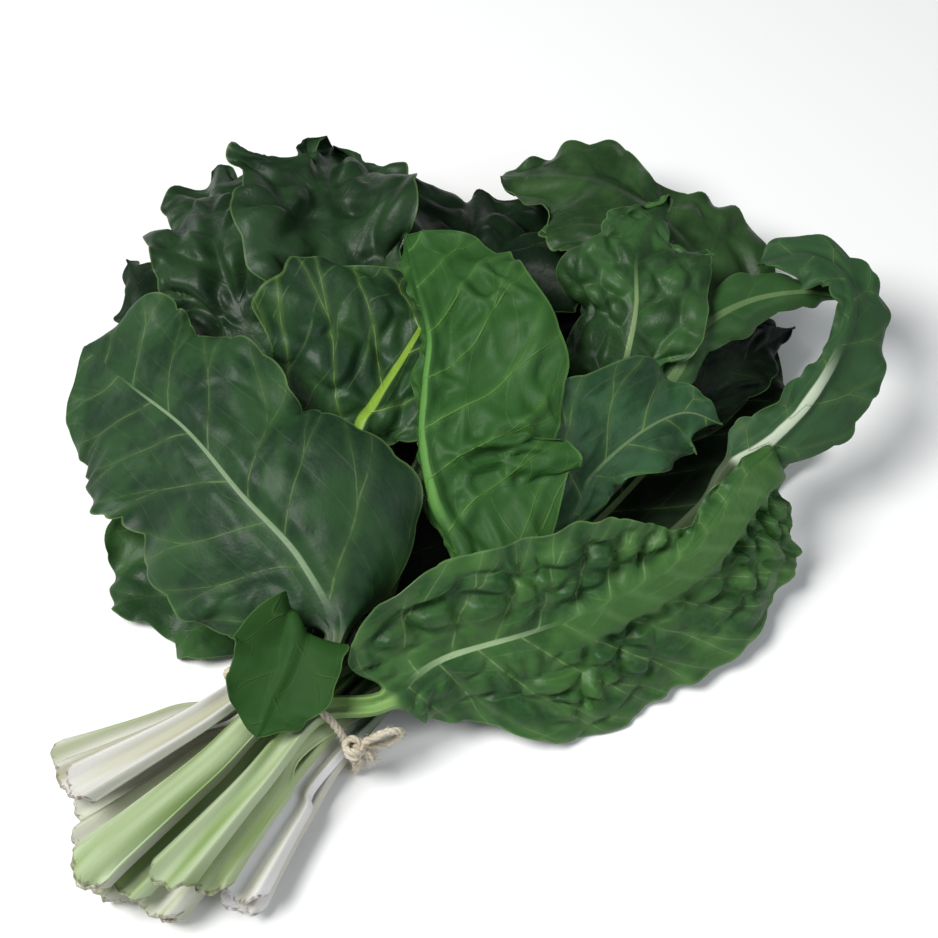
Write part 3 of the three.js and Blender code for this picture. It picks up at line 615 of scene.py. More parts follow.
def blade_side(centre, st, steps, side, trim):
    """One side of the blade. steps counts the solid's columns from the midrib."""
    shape = {**SIDE, **centre.leaf["left" if side > 0 else "right"]}
    s = np.clip(st.blade, 0, 1)
    rib_half = np.interp(s, RIB_PLACES, RIB_HALF_WIDTH)
    lobes = 1 + shape["lobe"] * np.sin(TURN * (shape["lobes"] * s + shape["phase"]))
    width = np.maximum(curved(shape["edge"], s) * lobes, rib_half + RIB_MARGIN)
    if trim is not None:
        width = trim(width, side, s)
        rib_half = np.minimum(rib_half, 0.5 * width)
    m = np.abs(steps)
    out_share = np.maximum((m - 1) / (centre.half_columns - 1), 0) ** BLADE_CROWDING
    x = rib_half * np.minimum(m, 1) + (width - rib_half) * out_share
    q = x / width
    fold = np.radians(eased(shape["fold"], s))
    bend = np.radians(eased(shape["curl"], s)) * q / 2
    chord = x * np.sinc(bend / np.pi)
    point = moved(st.place, st.left, side * chord * np.cos(fold + bend))
    point = moved(point, st.normal, chord * np.sin(fold + bend))
    point = moved(point, st.tangent, eased(shape["sweep"], s) * x)
    wave = np.sin(TURN * (shape["waves"] * s + WAVE_LAG * q + shape["phase"]))
    height = shape["wave"] * q**2 * wave * np.minimum(1, width / FULL_WAVE)
    end = (fold + 2 * bend)[..., None]
    point = moved(point, st.normal * np.cos(end) - st.left * side * np.sin(end), height)
    rib_depth = np.interp(s, RIB_PLACES, RIB_DEPTH)
    below = rib_depth * np.maximum(1 - (x / (RIB_SPREAD * rib_half)) ** 2, 0)
    return dict(point=point, below=below, x=side * x, q=side * q)


def blade_grid(centre, st, steps, trim=None):
    right = blade_side(centre, st, steps[steps < 0], -1, trim)
    left = blade_side(centre, st, steps[steps >= 0], 1, trim)
    return {key: np.concatenate([right[key], left[key]], axis=1) for key in left}


def ways_out(points):
    """The way out of the upper face at each point of a grid, from its neighbours."""
    ahead = np.concatenate([points[1:], points[-1:]])
    behind = np.concatenate([points[:1], points[:-1]])
    leftward = np.concatenate([points[:, 1:], points[:, -1:]], axis=1)
    rightward = np.concatenate([points[:, :1], points[:, :-1]], axis=1)
    return unit(np.cross(ahead - behind, leftward - rightward))


def solid_faces(centre):
    """The upper and lower face of the leaf's solid, as grids of points."""
    steps = np.arange(-centre.half_columns, centre.half_columns + 1)
    st = Stations(centre, centre.rows)
    stalk = stalk_grid(st, stalk_shares(steps, centre.half_columns))
    blade = blade_grid(centre, st, steps)
    on_stalk = st.blade <= 0
    point = np.where(on_stalk[..., None], stalk["point"], blade["point"])
    below = np.where(on_stalk, stalk["below"], blade["below"])[..., None]
    out = np.where(on_stalk[..., None], st.normal, ways_out(point))
    return [point + out * SKIN / 2, point - out * (SKIN / 2 + below)]


# ---------------------------------------------------------------- laying leaves on the pile


class Pile:
    """How high the pile stands along LAY, over a square grid of cells. It starts as the surface."""

    def __init__(self, cell, floor=0.0):
        self.cell = cell
        self.floor = floor
        self.size = int(FIELD_SPAN / cell)
        v = FIELD_START + (np.arange(self.size) + 0.5) * cell
        self.height = np.tile((floor - v * ALONG[2]) / LAY[2], (self.size, 1))

    def places(self, points):
        return [(points @ way - FIELD_START) / self.cell for way in (SIDEWAYS, ALONG)]

    def index(self, values):
        return np.clip(np.floor(values).astype(int), 0, self.size - 1)

    def need(self, points, gap):
        """How far each point has to rise along LAY to clear the pile."""
        a, b = self.places(points)
        heights = [
            self.height[self.index(a + da), self.index(b + db)]
            for da in (-0.5, 0.5) for db in (-0.5, 0.5)
        ]
        return np.max(heights, axis=0) + gap - points @ LAY

    def add(self, points):
        a, b = self.places(points)
        np.maximum.at(self.height, (self.index(a), self.index(b)), points @ LAY)


def over_quad(face, i, j):
    """Points at most a cell apart on the two triangles of quad i, j of a face."""
    a, b, c, d = face[i, j], face[i + 1, j], face[i + 1, j + 1], face[i, j + 1]
    along = int(np.ceil(max(np.linalg.norm(b - a), np.linalg.norm(c - d)) / CELL))
    across = int(np.ceil(max(np.linalg.norm(d - a), np.linalg.norm(c - b)) / CELL))
    u, v = np.meshgrid(np.linspace(0, 1, along + 1), np.linspace(0, 1, across + 1), indexing="ij")
    u, v = u[..., None], v[..., None]
    first = np.maximum(u, v)
    second = np.minimum(u, v)
    return a * (1 - first) + np.where(u >= v, b, d) * (first - second) + c * second


def smooth_rise(need, fade, passes, tied):
    """The lowest rise that meets the need and fades smoothly away from it. Tied rows stay at 0."""
    need = need.copy()
    need[:tied] = 0
    rise = need
    for _ in range(passes):
        padded = np.pad(rise, 1, mode="edge")
        side = padded[1:-1, :-2] + padded[1:-1, 2:]
        along = padded[:-2, 1:-1] + padded[2:, 1:-1]
        rise = np.maximum(need, fade * (side + along) / 4)
        rise[:tied] = 0
    return rise


def lay_solid(faces, pile):
    """The rise of each point of the leaf's solid, which is laid on the pile and added to it."""
    rows, columns = faces[0].shape[:2]
    places = [(i, j) for i in range(TIED_ROWS - 1, rows - 1) for j in range(columns - 1)]
    need = np.zeros((rows, columns))
    for face in faces:
        for i, j in places:
            most = max(pile.need(over_quad(face, i, j), GAP).max(), 0)
            around = need[i : i + 2, j : j + 2]
            np.maximum(around, most, out=around)
    rise = smooth_rise(need, FADE, PASSES, TIED_ROWS)
    for face in faces:
        face += LAY * rise[..., None]
        for i, j in places:
            pile.add(over_quad(face, i, j))
    return rise


# ---------------------------------------------------------------- one leaf, fine


class Leaf:
    """The fine leaf, as grids of points of both its faces."""

    def __init__(self, centre, rise):
        self.centre = centre
        self.seed = 100 * centre.number
        self.look = {**LOOK, **centre.leaf["look"]}
        self.place_rows_and_columns()
        self.shape()
        self.lift(rise)
        self.raise_relief()
        self.close_faces()

    def place_rows_and_columns(self):
        centre, grain = self.centre, self.look["grain"]
        stalk = np.linspace(0, centre.blade, int(centre.blade / STALK_STEP), endpoint=False)
        blade = np.linspace(centre.blade, centre.tip, int((centre.tip - centre.blade) / grain))
        self.lengths = np.concatenate([stalk, blade])
        self.stalk_rows = len(stalk)
        widest = max(centre.leaf["left"]["edge"] + centre.leaf["right"]["edge"])
        per_side = STALK_SHARE * int(np.ceil(widest / grain / STALK_SHARE))
        beyond = np.linspace(0, 1, per_side - 1) ** (1 / BLADE_CROWDING)
        steps = np.concatenate([[0, 0.5], 1 + (centre.half_columns - 1) * beyond])
        self.steps = np.concatenate([-steps[:0:-1], steps])
        self.st = Stations(centre, self.lengths, fine=True)

    def trim(self, width, side, s):
        """The blade's outline with its scallops and its rounded tip."""
        along = s * (self.centre.tip - self.centre.blade)
        level = 0 * along
        seed = self.seed + 10 + side
        phase = along / SCALLOP_PITCH + 0.9 * noise(along / 31, level, seed)
        depth = 0.75 + 0.5 * noise(along / 19, level + 5.5, seed)
        scallops = depth * (np.abs(np.sin(np.pi * phase)) ** 0.7 - 0.8)
        lobes = 1.2 * noise(along / 17 + 3.3, level, seed) - 0.3
        share = self.look["tip"]
        tip = np.sqrt(np.clip(1 - (np.clip(s - 1 + share, 0, 1) / share) ** 2, 0.003, 1))
        start = np.minimum(1, 8 * s)
        return np.maximum((width + self.look["scallop"] * (scallops + lobes) * start) * tip, NARROWEST)

    def shape(self):
        """Stalk and blade, blended where one turns into the other."""
        stalk = self.round_stalk(stalk_grid(self.st, stalk_shares(self.steps, self.centre.half_columns)))
        blade = blade_grid(self.centre, self.st, self.steps, self.trim)
        self.weight = smoothstep(BLEND * np.maximum(self.st.blade, 0))

        def blend(key, weight):
            return stalk[key] * (1 - weight) + blade[key] * weight

        self.point = blend("point", self.weight[..., None])
        self.below, self.x, self.q = (blend(key, self.weight) for key in ("below", "x", "q"))
        self.along = self.lengths[:, None] + 0 * self.x
        self.tear_end()

    def round_stalk(self, grid):
        """The stalk's margins are rolled and rounded, where the solid's are sharp."""
        depth = np.interp(self.st.stalk, STALK_PLACES, STALK_DEPTH)
        q = np.abs(grid["q"])
        up = ROLL_HEIGHT * smoothstep(q / 0.7)
        down = ROLL_DROP * smoothstep((q - 0.62) / 0.38) * q**2
        roll = depth * (up - down)
        grid["point"] = moved(grid["point"], self.st.normal, roll)
        grid["below"] = BELOW * depth * np.sqrt(np.maximum(1 - q**2.4, 0)) + np.maximum(roll, 0)
        return grid

    def tear_end(self):
        """The stalk's end is a rounded tongue, slanted and slightly ragged, and thins towards it."""
        near = np.clip(1 - self.lengths / (3 * TEAR), 0, 1)[:, None] ** 2
        middle = np.array(0.5)
        slant = SLANT * noise(middle, middle, self.seed + 3)
        level = 0 * self.q
        ragged = noise(self.q * 2.6, level, self.seed + 4)
        ragged = ragged + 0.5 * noise(self.q * 7, level, self.seed + 5)
        rounded = 0.7 * TEAR * (1 - np.sqrt(1 - 0.97 * self.q**2))
        back = rounded + slant * self.q + RAGGED * ragged
        self.point = moved(self.point, self.st.tangent, near * back)
        thin = np.clip(self.lengths / TEAR, 0, 1)[:, None] ** 0.6
        self.below = self.below * np.where(self.along < self.centre.tie, 0.3 + 0.7 * thin, 1)

    def lift(self, rise):
        """The rise of the solid, without its corners."""
        rows = np.interp(self.lengths, self.centre.rows, np.arange(len(rise)))
        columns = self.steps + self.centre.half_columns
        along = np.stack([np.interp(rows, np.arange(len(rise)), column) for column in rise.T], axis=1)
        lifts = np.stack([np.interp(columns, np.arange(rise.shape[1]), row) for row in along])
        reach = int(LIFT_BLUR / self.look["grain"])
        for _ in range(2):
            lifts = blurred(lifts, min(reach, len(lifts) // 4))
            lifts = blurred(lifts.T, reach // 2).T
        past = smoothstep((self.lengths - self.centre.tie - PAST_TIE) / LIFT_START)[:, None]
        self.point = moved(self.point, LAY, lifts * past)

    def bumps(self, size, number, shift=0):
        """Smooth bumps of about this size on the blade, from -1 to 1. The number tells them apart."""
        return noise(self.x / size + shift, (self.along - self.centre.blade) / size, self.seed + number)

    def raise_relief(self):
        """Moves the blade's surface along its own way out."""
        look = self.look
        x, q = np.abs(self.x), np.abs(self.q)
        right = self.x < 0
        along = self.along - self.centre.blade
        s = np.maximum(self.st.blade, 0)
        start = (along - look["lean"] * x) / look["spacing"]
        self.vein = start + 0.22 * self.bumps(38, 20) + np.where(right, 0.45, 0)
        ladder = 0.5 * self.bumps(27, 22)
        self.rung = x / look["rung"] + ladder + 0.41 * np.sin(2.4 * np.floor(self.vein) + self.seed)
        furrow = look["furrow"] * (np.abs(np.sin(np.pi * self.vein)) ** 0.8 - 0.6) * (1 - 0.5 * q)
        bent_u = self.x / look["cell"] + 0.35 * self.bumps(21, 27)
        bent_v = along / look["cell"] + 0.35 * self.bumps(21, 28, 9)
        blister = look["blister"] * (0.7 + 0.6 * self.bumps(29, 23))
        bulge = blister * (blisters(bent_u, bent_v, self.seed + 29) - 0.5)
        fine = 0.2 * self.bumps(6, 25)
        swell = look["swell"] * (self.bumps(34, 24, 7) + 0.3 * self.bumps(15, 21))
        phase = along / RUFFLE_PITCH + noise(along / 41, 0 * along, self.seed + 26)
        ruffle = look["ruffle"] * q**4 * np.sin(TURN * (phase + np.where(right, 0.3, 0)))
        crest, crease = self.ridge(s)
        middle = smoothstep(x / 9) * (1 - crest)
        margin = 1 - 0.8 * smoothstep((q - look["calm"]) / 0.3)
        ends = smoothstep(s / 0.12) * smoothstep((1 - s) / 0.04 + 0.3)
        height = ((bulge + furrow + fine) * margin + swell) * middle + ruffle + crease
        self.point = moved(self.point, ways_out(self.point), height * ends * self.weight)
        self.smooth = crest + 0 * self.x

    def ridge(self, s):
        """Where the smooth fold beside the midrib is, if the leaf has one, and its height."""
        ridge = self.look["ridge"]
        if ridge is None:
            return 0, 0
        rising = smoothstep((s - ridge["start"]) / 0.15)
        away = np.abs(self.x - ridge["shift"]) / ridge["half"]
        crest = rising * (1 - smoothstep((away - 0.6) / 0.8))
        crease = rising * np.exp(-((ridge["half"] * (away - 1.5) / 2.5) ** 2))
        return crest, ridge["height"] * (crest - 0.7 * crease)

    def close_faces(self):
        """The two faces, as far apart as the blade or the stalk is thick."""
        weight = self.weight[..., None]
        out = unit(self.st.normal * (1 - weight) + ways_out(self.point) * weight)
        thick = FINE_SKIN - (FINE_SKIN - THIN_EDGE) * smoothstep((np.abs(self.q) - 0.9) / 0.1)
        self.faces = [moved(self.point, out, thick / 2), moved(self.point, -out, thick / 2 + self.below)]

    def lay(self, pile):
        """Raises the fine leaf off the fine leaves under it, and adds it to the pile."""
        need = np.maximum.reduce([pile.need(face, FINE_GAP) for face in self.faces])
        tied = int(np.searchsorted(self.lengths, self.centre.tie + PAST_TIE))
        rise = smooth_rise(np.maximum(need, 0), FINE_FADE, FINE_PASSES, tied)
        for face, clear in zip(self.faces, (THIN_EDGE, 0)):
            face += LAY * rise[..., None]
            face[..., 2] = np.maximum(face[..., 2], pile.floor + clear)
            pile.add(face)
            pile.add((face[1:] + face[:-1]) / 2)

    def values(self):
        """What the material needs to know at each point."""
        neck = smoothstep((self.along - self.centre.tie - NECK_START) / NECK_LENGTH)
        return dict(
            vein=self.vein, rung=self.rung, across=self.x, along=self.along, share=np.abs(self.q),
            blade=self.weight + 0 * self.x, smooth=self.smooth, neck=neck,
            tipward=np.maximum(self.st.blade, 0) + 0 * self.x,
        )


# ---------------------------------------------------------------- meshes


def new_mesh(name, points, faces):
    mesh = bpy.data.meshes.new(name)
    mesh.from_pydata(points.tolist(), [], faces)
    mesh.shade_smooth()
    return mesh


def leaf_mesh(leaf, offset):
    """One closed mesh. On the stalk only one column in STALK_SHARE is used."""
    top, low = leaf.faces
    coarse = np.arange(0, top.shape[1], STALK_SHARE)
    used = np.zeros(top.shape[:2], bool)
    used[:, coarse] = True
    used[leaf.stalk_rows :] = True
    count = used.sum()
    number = np.full((2, *used.shape), -1)
    number[:, used] = np.arange(2 * count).reshape(2, -1)
    points = np.concatenate([top[used], low[used]]) * MM + offset
    mesh = new_mesh(leaf.centre.name + "_fine", points, leaf_faces(number, leaf.stalk_rows, coarse))
    mesh.set_sharp_from_angle(angle=SHARP)
    for key, grid in leaf.values().items():
        add_values(mesh, key, np.tile(grid[used], 2))
    add_values(mesh, "under", np.repeat([0, 1], count))
    return mesh


def leaf_faces(number, first, coarse):
    """The upper and lower faces, and those that close the mesh at its margins and ends.

    number has the vertices' numbers, and first is the first row with a vertex in every column.
    """
    faces = []
    for grid, way in zip(number, (1, -1)):
        stalk = quads(grid[:first][:, coarse])
        blade = quads(grid[first:])
        join = [
            [grid[first - 1, a], *grid[first, a : b + 1], grid[first - 1, b]]
            for a, b in zip(coarse[:-1], coarse[1:])
        ]
        faces += [face[::way] for face in [*stalk, *blade, *join]]
    faces += [face[::-1] for face in quads(number[:, :, 0].T)]
    faces += quads(number[:, :, -1].T)
    faces += quads(number[::-1, 0, coarse])
    faces += quads(number[:, -1])
    return faces


def quads(grid):
    """The quads of a grid of vertex numbers, turned to face up where its rows run ahead."""
    corners = [grid[:-1, :-1], grid[1:, :-1], grid[1:, 1:], grid[:-1, 1:]]
    return np.stack(corners, axis=-1).reshape(-1, 4).tolist()


def add_values(mesh, name, values):
    attribute = mesh.attributes.new(name, "FLOAT", "POINT")
    attribute.data.foreach_set("value", np.ascontiguousarray(values, np.float32))


def add_object(name, data):
    thing = bpy.data.objects.new(name, data)
    bpy.context.scene.collection.objects.link(thing)
    return thing


def add_piece(mesh, node, material):
    piece = add_object(mesh.name, mesh)
    mesh.materials.append(material)
    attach(piece, "root")
    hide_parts(node)


# ---------------------------------------------------------------- the twine

TWINE_RADIUS = 1.5
STRANDS = 3
STRAND_PITCH = 9  # along the twine for one turn of a strand
STRAND_SIDES = 8
STRAND_AWAY = 0.5  # from the twine's middle, as a share of its radius
STRAND_WIDTH = 0.62  # a strand's radius, as the same
TWINE_STEP = 0.8
# The ring goes round the stalks through these Y and Z. Then come points of the bow, ends and knot.
TIE_ROUTE = [
    (-9, 4.6), (15, 3), (38, 4.4), (51.5, 10), (53, 18), (47.5, 28), (42.5, 36),
    (39.5, 42), (21, 43.5), (3, 43.5), (-4, 38), (-8.5, 28), (-11.5, 18), (-11.5, 9),
]
BOW = [(0, -12, 28), (6, -16, 31), (12, -20, 32), (16, -23, 28), (12, -21, 24), (6, -17, 25), (0, -12, 28)]
SHORT_END = [(0, -12, 28), (2, -17, 25), (3, -20, 20)]
LONG_END = [(0, -12, 28), (-1, -15, 22), (1, -15, 15)]
KNOT_TURNS = [
    (2.2, -9.4, 26.4), (2.6, -13.2, 25.8), (0.4, -14.8, 28), (-2.4, -13.4, 30.2), (-2.4, -9.8, 30.2),
    (0.2, -8.8, 31.4), (2.6, -12, 31), (1.6, -14.6, 28.6), (-1.6, -14.4, 26), (-2.8, -10.8, 25.6),
]
FIBRES = 140  # on the ring, on the bow and on each end
FIBRE_REACH = (1.2, 3.2)
FIBRE_RADIUS = 0.08


def closed_line(points):
    points = np.array(points, float)
    ring = np.vstack([points[-1:], points, points[:2]])
    share = (np.arange(STEPS) / STEPS)[:, None]
    return np.vstack([spline(*ring[i - 1 : i + 3], share) for i in range(1, len(ring) - 2)])


def even_line(line):
    """The line with its points TWINE_STEP apart, and the length along it at each."""
    arc = arc_lengths(line)
    lengths = np.linspace(0, arc[-1], max(int(arc[-1] / TWINE_STEP), 4))
    return point_at((line, arc), lengths), lengths


def carried_frames(line):
    """A pair of directions square to the line, carried along it without twisting."""
    tangent = unit(np.gradient(line, axis=0))
    normals = [unit(np.cross(tangent[0], [0.3, 0.5, 0.8]))]
    for way in tangent[1:]:
        normals.append(unit(normals[-1] - way * (normals[-1] @ way)))
    normal = np.array(normals)
    return normal, np.cross(tangent, normal)


def tube(line, radius, sides):
    """Rings of points round a line, and the faces between them. radius may differ along it."""
    normal, across = carried_frames(line)
    angles = (TURN * np.arange(sides) / sides)[:, None]
    radius = np.broadcast_to(radius, len(line))[:, None, None]
    rings = line[:, None] + radius * (normal[:, None] * np.cos(angles) + across[:, None] * np.sin(angles))
    number = np.arange(len(line) * sides).reshape(-1, sides)
    around = np.column_stack([number, number[:, 0]])
    faces = [*quads(around.T), number[0, ::-1].tolist(), number[-1].tolist()]
    return rings.reshape(-1, 3), faces


def strands(line, closed=False):
    """The strands of the twine, each winding round the line."""
    line, lengths = even_line(line)
    if closed:
        line, lengths = line[:-1], lengths[:-1]
    normal, across = carried_frames(line)
    length = lengths[-1] + TWINE_STEP
    turns = round(length / STRAND_PITCH)
    parts = []
    for k in range(STRANDS):
        angle = (TURN * (turns * lengths / length + k / STRANDS))[:, None]
        level = 0 * lengths + k
        away = STRAND_AWAY * TWINE_RADIUS * (1 + 0.12 * noise(lengths / 5, level, 70 + k)[:, None])
        path = line + away * (normal * np.cos(angle) + across * np.sin(angle))
        width = STRAND_WIDTH * TWINE_RADIUS * (1 + 0.1 * noise(lengths / 3, level, 80 + k))
        if closed:
            path = np.vstack([path, path[:1]])
            width = np.append(width, width[0])
        else:
            width = width * np.clip((length - lengths) / 4, 0.35, 1)
        parts.append(tube(path, width, STRAND_SIDES))
    return parts


def fibres(line):
    """Loose ends of fibre that stand out from the twine."""
    rng = np.random.default_rng(11)
    normal, across = carried_frames(line)
    parts = []
    for i in rng.integers(2, len(line) - 2, FIBRES):
        angle = rng.uniform(0, TURN)
        out = normal[i] * np.cos(angle) + across[i] * np.sin(angle)
        ahead = unit(line[i + 1] - line[i - 1]) * rng.choice([-1, 1])
        reach = rng.uniform(*FIBRE_REACH)
        root = line[i] + out * 0.8 * TWINE_RADIUS
        middle = root + ahead * reach * 0.6 + out * reach * 0.25
        end = middle + ahead * reach * 0.4 + out * reach * rng.uniform(0.1, 0.5)
        parts.append(tube(smooth_line([root, middle, end], 3)[0], FIBRE_RADIUS, 3))
    return parts


def twine_mesh(offset):
    ring = closed_line([(0, y, z) for y, z in TIE_ROUTE])
    parts = strands(ring, closed=True) + strands(closed_line(KNOT_TURNS), closed=True)
    bow_and_ends = [smooth_line(points)[0] for points in (BOW, SHORT_END, LONG_END)]
    for line in bow_and_ends:
        parts += strands(line)
    for line in [ring, *bow_and_ends]:
        parts += fibres(even_line(line)[0])
    points, faces, start = [], [], 0
    for part_points, part_faces in parts:
        points.append(part_points)
        faces += [[start + k for k in face] for face in part_faces]
        start += len(part_points)
    places = np.vstack(points) * MM + offset
    places[:, 2] = np.maximum(places[:, 2], 0)
    return new_mesh("tie_string_fine", places, faces)


# ---------------------------------------------------------------- materials


def colour(code):
    """A colour socket's value from red, green and blue as one hexadecimal number."""
    share = np.array([code >> 16, code >> 8 & 0xFF, code & 0xFF]) / 0xFF
    linear = np.where(share <= 0.04045, share / 12.92, ((share + 0.055) / 1.055) ** 2.4)
    return (*linear.tolist(), 1)


def operator(operation, swapped=False):
    """A method of Value that adds a math node."""

    def method(self, *other):
        inputs = (*other, self) if swapped else (self, *other)
        return self.graph.math(operation, *inputs)

    return method


class Value:
    """A node's output. Arithmetic with it adds math nodes."""

    __add__ = operator("ADD")
    __sub__ = operator("SUBTRACT")
    __rsub__ = operator("SUBTRACT", swapped=True)
    __mul__ = operator("MULTIPLY")
    __truediv__ = operator("DIVIDE")
    __pow__ = operator("POWER")
    __abs__ = operator("ABSOLUTE")

    def __init__(self, graph, socket):
        self.graph = graph
        self.socket = socket


class Graph:
    """A material's nodes. Each call adds one and gives its output; inputs are values or outputs."""

    def __init__(self, name):
        self.material = bpy.data.materials.new(name)
        self.material.use_nodes = True
        self.tree = self.material.node_tree
        self.shader = self.tree.nodes["Principled BSDF"]

    def plug(self, socket, value):
        if isinstance(value, Value):
            self.tree.links.new(value.socket, socket)
        else:
            socket.default_value = value

    def add(self, kind, inputs, output=0, **settings):
        node = self.tree.nodes.new(kind)
        for key, value in settings.items():
            setattr(node, key, value)
        for key, value in inputs.items():
            self.plug(node.inputs[key], value)
        return Value(self, node.outputs[output])

    def value(self, name):
        return self.add("ShaderNodeAttribute", {}, "Fac", attribute_name=name)

    def math(self, operation, *inputs):
        return self.add("ShaderNodeMath", dict(enumerate(inputs)), operation=operation)

    def mix(self, share, a, b):
        """From colour a to colour b by a share. Each is an output or a number for colour()."""
        a, b = (colour(paint) if isinstance(paint, int) else paint for paint in (a, b))
        return self.add("ShaderNodeMix", {"Factor": share, 6: a, 7: b}, 2, data_type="RGBA")

    def fade(self, value, start, end):
        """0 at start, 1 at end, eased."""
        inputs = {"Value": value, "From Min": start, "From Max": end}
        return self.add("ShaderNodeMapRange", inputs, interpolation_type="SMOOTHSTEP")

    def place(self, x, y, z):
        return self.add("ShaderNodeCombineXYZ", {0: x, 1: y, 2: z})

    def noise(self, place, scale, detail=2.0, rough=0.5):
        inputs = {"Vector": place, "Scale": scale, "Detail": detail, "Roughness": rough}
        return self.add("ShaderNodeTexNoise", inputs, "Fac")

    def bump(self, height, distance):
        return self.add("ShaderNodeBump", {"Height": height, "Distance": distance, "Strength": 1.0})

    def finish(self, **inputs):
        for key, value in inputs.items():
            self.plug(self.shader.inputs[key.replace("_", " ")], value)
        return self.material


TORN = 0x5A2F22
RELIEF = 0.4 * MM  # height that 1 stands for in the bump of a leaf
TWINE_RELIEF = 0.25 * MM
TWINE_DARK = 0xB6AA96
TWINE_PALE = 0xDCD4C2
TWINE_SOIL = 0xA09078


def vein_lines(g, look, patchy):
    """How far a point is in a side vein, in a cross vein and in the glow beside a side vein.

    Side veins fork on their way out, and cross veins join them.
    """
    share = g.value("share")
    fork = g.fade(share, 0.5, 1.05) * 0.24
    to_vein = abs(g.math("PINGPONG", g.value("vein"), 0.5) - fork) * look["spacing"]
    to_rung = g.math("PINGPONG", g.value("rung"), 0.5) * look["rung"]
    vein = 1.0 - g.fade(to_vein / (share * -0.6 + 0.9), 0.0, 1.0)
    vein = vein * (share * -0.6 + 1.0) * (1.0 - g.value("smooth")) * patchy
    rung = (1.0 - g.fade(to_rung, 0.0, 0.6)) * patchy
    glow = 1.0 - g.fade(to_vein, 0.0, 4.0)
    return vein, rung, glow


def midrib_line(g, look):
    """How far a point is in the midrib, which thins to the tip."""
    tipward = g.value("tipward")
    half = (tipward**0.7 * -2.5 + 3.0) * look["rib_width"]
    rib = 1.0 - g.fade(abs(g.value("across")) / half, 0.7, 1.15)
    started = g.fade(tipward, look["rib_start"] - 0.08, look["rib_start"] + 0.04)
    ended = g.fade(tipward, look["rib_end"] + 0.1, look["rib_end"] - 0.08)
    return rib * ended * started


def blade_colour(g, look, slow, rough, lines):
    """Slightly blotched green with paler lines, and paler on the lower face and on a smooth fold."""
    green = g.mix(g.fade(slow, 0.38, 0.62), look["top"], look["light"])
    green = g.mix(g.fade(rough, 0.3, 0.7) * 0.2, green, look["light"])
    green = g.mix(g.math("MAXIMUM", g.value("under"), g.value("smooth") * 0.7), green, look["low"])
    vein, rung, glow = lines
    for line, strength in ((glow, 0.18), (rung, 0.2), (vein, 1.0)):
        green = g.mix(line * (strength * look["veined"]), green, look["vein"])
    rim = g.fade(g.value("share"), 0.975, 0.99)
    green = g.mix(rim * 0.25, green, look["vein"])
    return g.mix(midrib_line(g, look) * look["ribbed"], green, look["rib"])


def stalk_colour(g, look, rough, fibre, place):
    """Pale with soft green streaks along it, green next to the blade, where a dark green neck is painted
    shade, and browned at its torn end.
    """
    streak = g.fade(g.noise(place, 1.0, 1.0, 0.4), 0.34, 0.72)
    stalk = g.mix(streak, look["stalk"], look["streak"])
    stalk = g.mix(fibre * 0.12, stalk, look["streak"])
    # A dark neck colour here is painted shade; GREEN_NECK's light green is the stalk's own.
    stalk = g.mix(g.value("neck") * 0.9, stalk, look["neck"])
    torn = 1.0 - g.fade(rough * 9.0 + g.value("along"), 3.2, 6.0)
    return g.mix(torn * 0.7, stalk, TORN)


def leaf_material(name, number, look):
    g = Graph(name)
    across, along = g.value("across"), g.value("along")
    under, blade = g.value("under"), g.value("blade")
    place = g.place(across, along, 50.0 * number)
    slow = g.noise(place, 0.045, 3.0, 0.6)
    wavy = g.noise(place, 0.14, 3.0, 0.55)
    rough = g.noise(place, 0.7)
    fibre = g.noise(g.place(across * 1.6, along * 0.03, 9.0 * number), 1.0)
    streaks = g.place(across * 0.16, along * 0.009, 9.0 * number)
    vein, rung, glow = vein_lines(g, look, patchy=g.fade(wavy, 0.3, 0.6))
    green = blade_colour(g, look, slow, rough, (vein, rung, glow))
    stalk = stalk_colour(g, look, rough, fibre, streaks)

    # Veins stand slightly out of both faces, more on the lower one.
    veins = (vein + rung * 0.2) * (under * 0.7 + 0.3) * blade
    grain = wavy * look["wrinkle"] * blade + rough * 0.25
    height = veins + grain + fibre * 0.2 * (1.0 - blade)
    return g.finish(
        Base_Color=g.mix(g.fade(blade, 0.0, 0.45), stalk, green),
        Roughness=slow * 0.16 + under * 0.12 + look["gloss"],
        Normal=g.bump(height, RELIEF),
        Specular_IOR_Level=look["shine"],
    )


def twine_material():
    g = Graph("twine")
    place = g.add("ShaderNodeTexCoord", {}, "Object")
    long_fibre = g.noise(place, 900.0, 4.0, 0.7)
    soil = g.fade(g.noise(place, 120.0, 3.0), 0.4, 0.75)
    base = g.mix(g.fade(long_fibre, 0.3, 0.7), TWINE_DARK, TWINE_PALE)
    base = g.mix(soil * 0.35, base, TWINE_SOIL)
    return g.finish(Base_Color=base, Roughness=0.85, Normal=g.bump(long_fibre, TWINE_RELIEF))


# ---------------------------------------------------------------- the studio

SKY_TINT = (0.92, 0.96, 1.0)
AZIMUTH = np.radians(-55)  # the way the camera looks, across the surface
ELEVATION = np.radians(58)  # and how steeply down
LENS = 70
EYE = np.array([-207.9, -212.5, 690.6])  # in the frame of the tie
FLOOR_HALF = 4.0  # metres


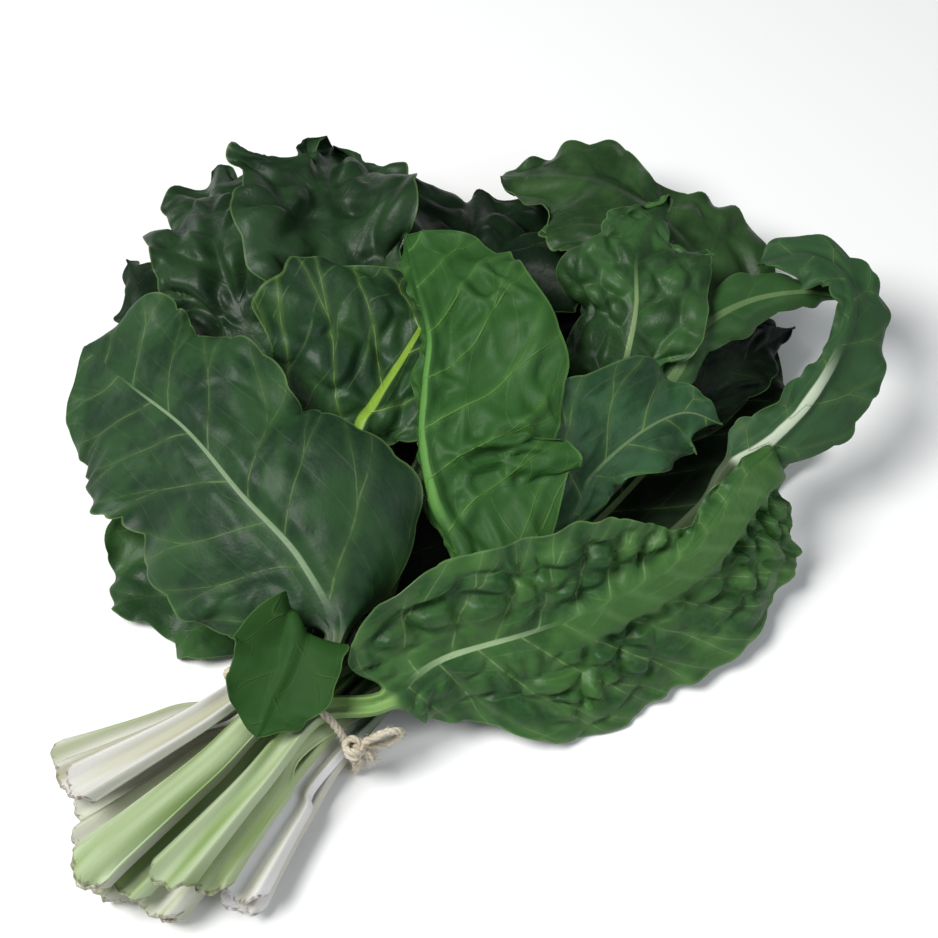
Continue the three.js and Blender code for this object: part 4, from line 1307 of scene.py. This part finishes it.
def add_camera(offset):
    right = np.array([np.cos(AZIMUTH), np.sin(AZIMUTH), 0])
    ahead = np.cross(UP, right) * np.cos(ELEVATION) - UP * np.sin(ELEVATION)
    data = bpy.data.cameras.new("camera")
    data.lens = LENS
    data.sensor_width = 36
    data.clip_start = 0.01
    camera = add_object("camera", data)
    turned = Matrix([right, np.cross(right, ahead), -ahead]).transposed().to_4x4()
    camera.matrix_world = Matrix.Translation(Vector(EYE * MM + offset)) @ turned
    bpy.context.scene.camera = camera


def add_floor():
    corners = FLOOR_HALF * np.array([(-1, -1, 0), (1, -1, 0), (1, 1, 0), (-1, 1, 0)])
    mesh = new_mesh("floor", corners, [(0, 1, 2, 3)])
    mesh.materials.append(Graph("floor").finish(Base_Color=colour(0xF4F4F4), Roughness=0.9))
    add_object("floor", mesh)


def add_light(name, place, size, power, tint):
    data = bpy.data.lights.new(name, "AREA")
    data.shape = "DISK"
    data.size = size
    data.energy = power
    data.color = tint
    light = add_object(name, data)
    light.location = place
    light.rotation_euler = (-Vector(place)).to_track_quat("-Z", "Y").to_euler()


def add_world():
    world = bpy.data.worlds.new("sky")
    world.use_nodes = True
    sky = world.node_tree.nodes["Background"]
    sky.inputs["Color"].default_value = (*SKY_TINT, 1)
    sky.inputs["Strength"].default_value = 0.16
    bpy.context.scene.world = world
    bpy.context.scene.view_settings.view_transform = "Standard"


# ---------------------------------------------------------------- making it all

centres = [Centre(number, name, leaf) for number, (name, leaf) in enumerate(LEAVES.items())]
solids = [solid_faces(centre) for centre in centres]
solid_pile = Pile(CELL)
rises = [lay_solid(faces, solid_pile) for faces in solids]

# The frame of the tie is set into the part's by the lowest corner of the first leaf's solid.
lowest = np.min([face.min(axis=(0, 1)) for face in solids[0]], axis=0)
offset = np.array(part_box(centres[0].name)[0]) - lowest * MM

fine_pile = Pile(FINE_CELL, -offset[2] / MM)
for centre, rise in zip(centres, rises):
    leaf = Leaf(centre, rise)
    leaf.lay(fine_pile)
    material = leaf_material(centre.name, centre.number, leaf.look)
    add_piece(leaf_mesh(leaf, offset), centre.name, material)
add_piece(twine_mesh(offset), "tie_string", twine_material())

add_floor()
add_camera(offset)
add_world()
add_light("window", (-0.62, 0.5, 1.35), 0.8, 30, (1.0, 1.0, 0.98))
add_light("fill", (0.1, -1.1, 0.9), 1.0, 5.5, SKY_TINT)
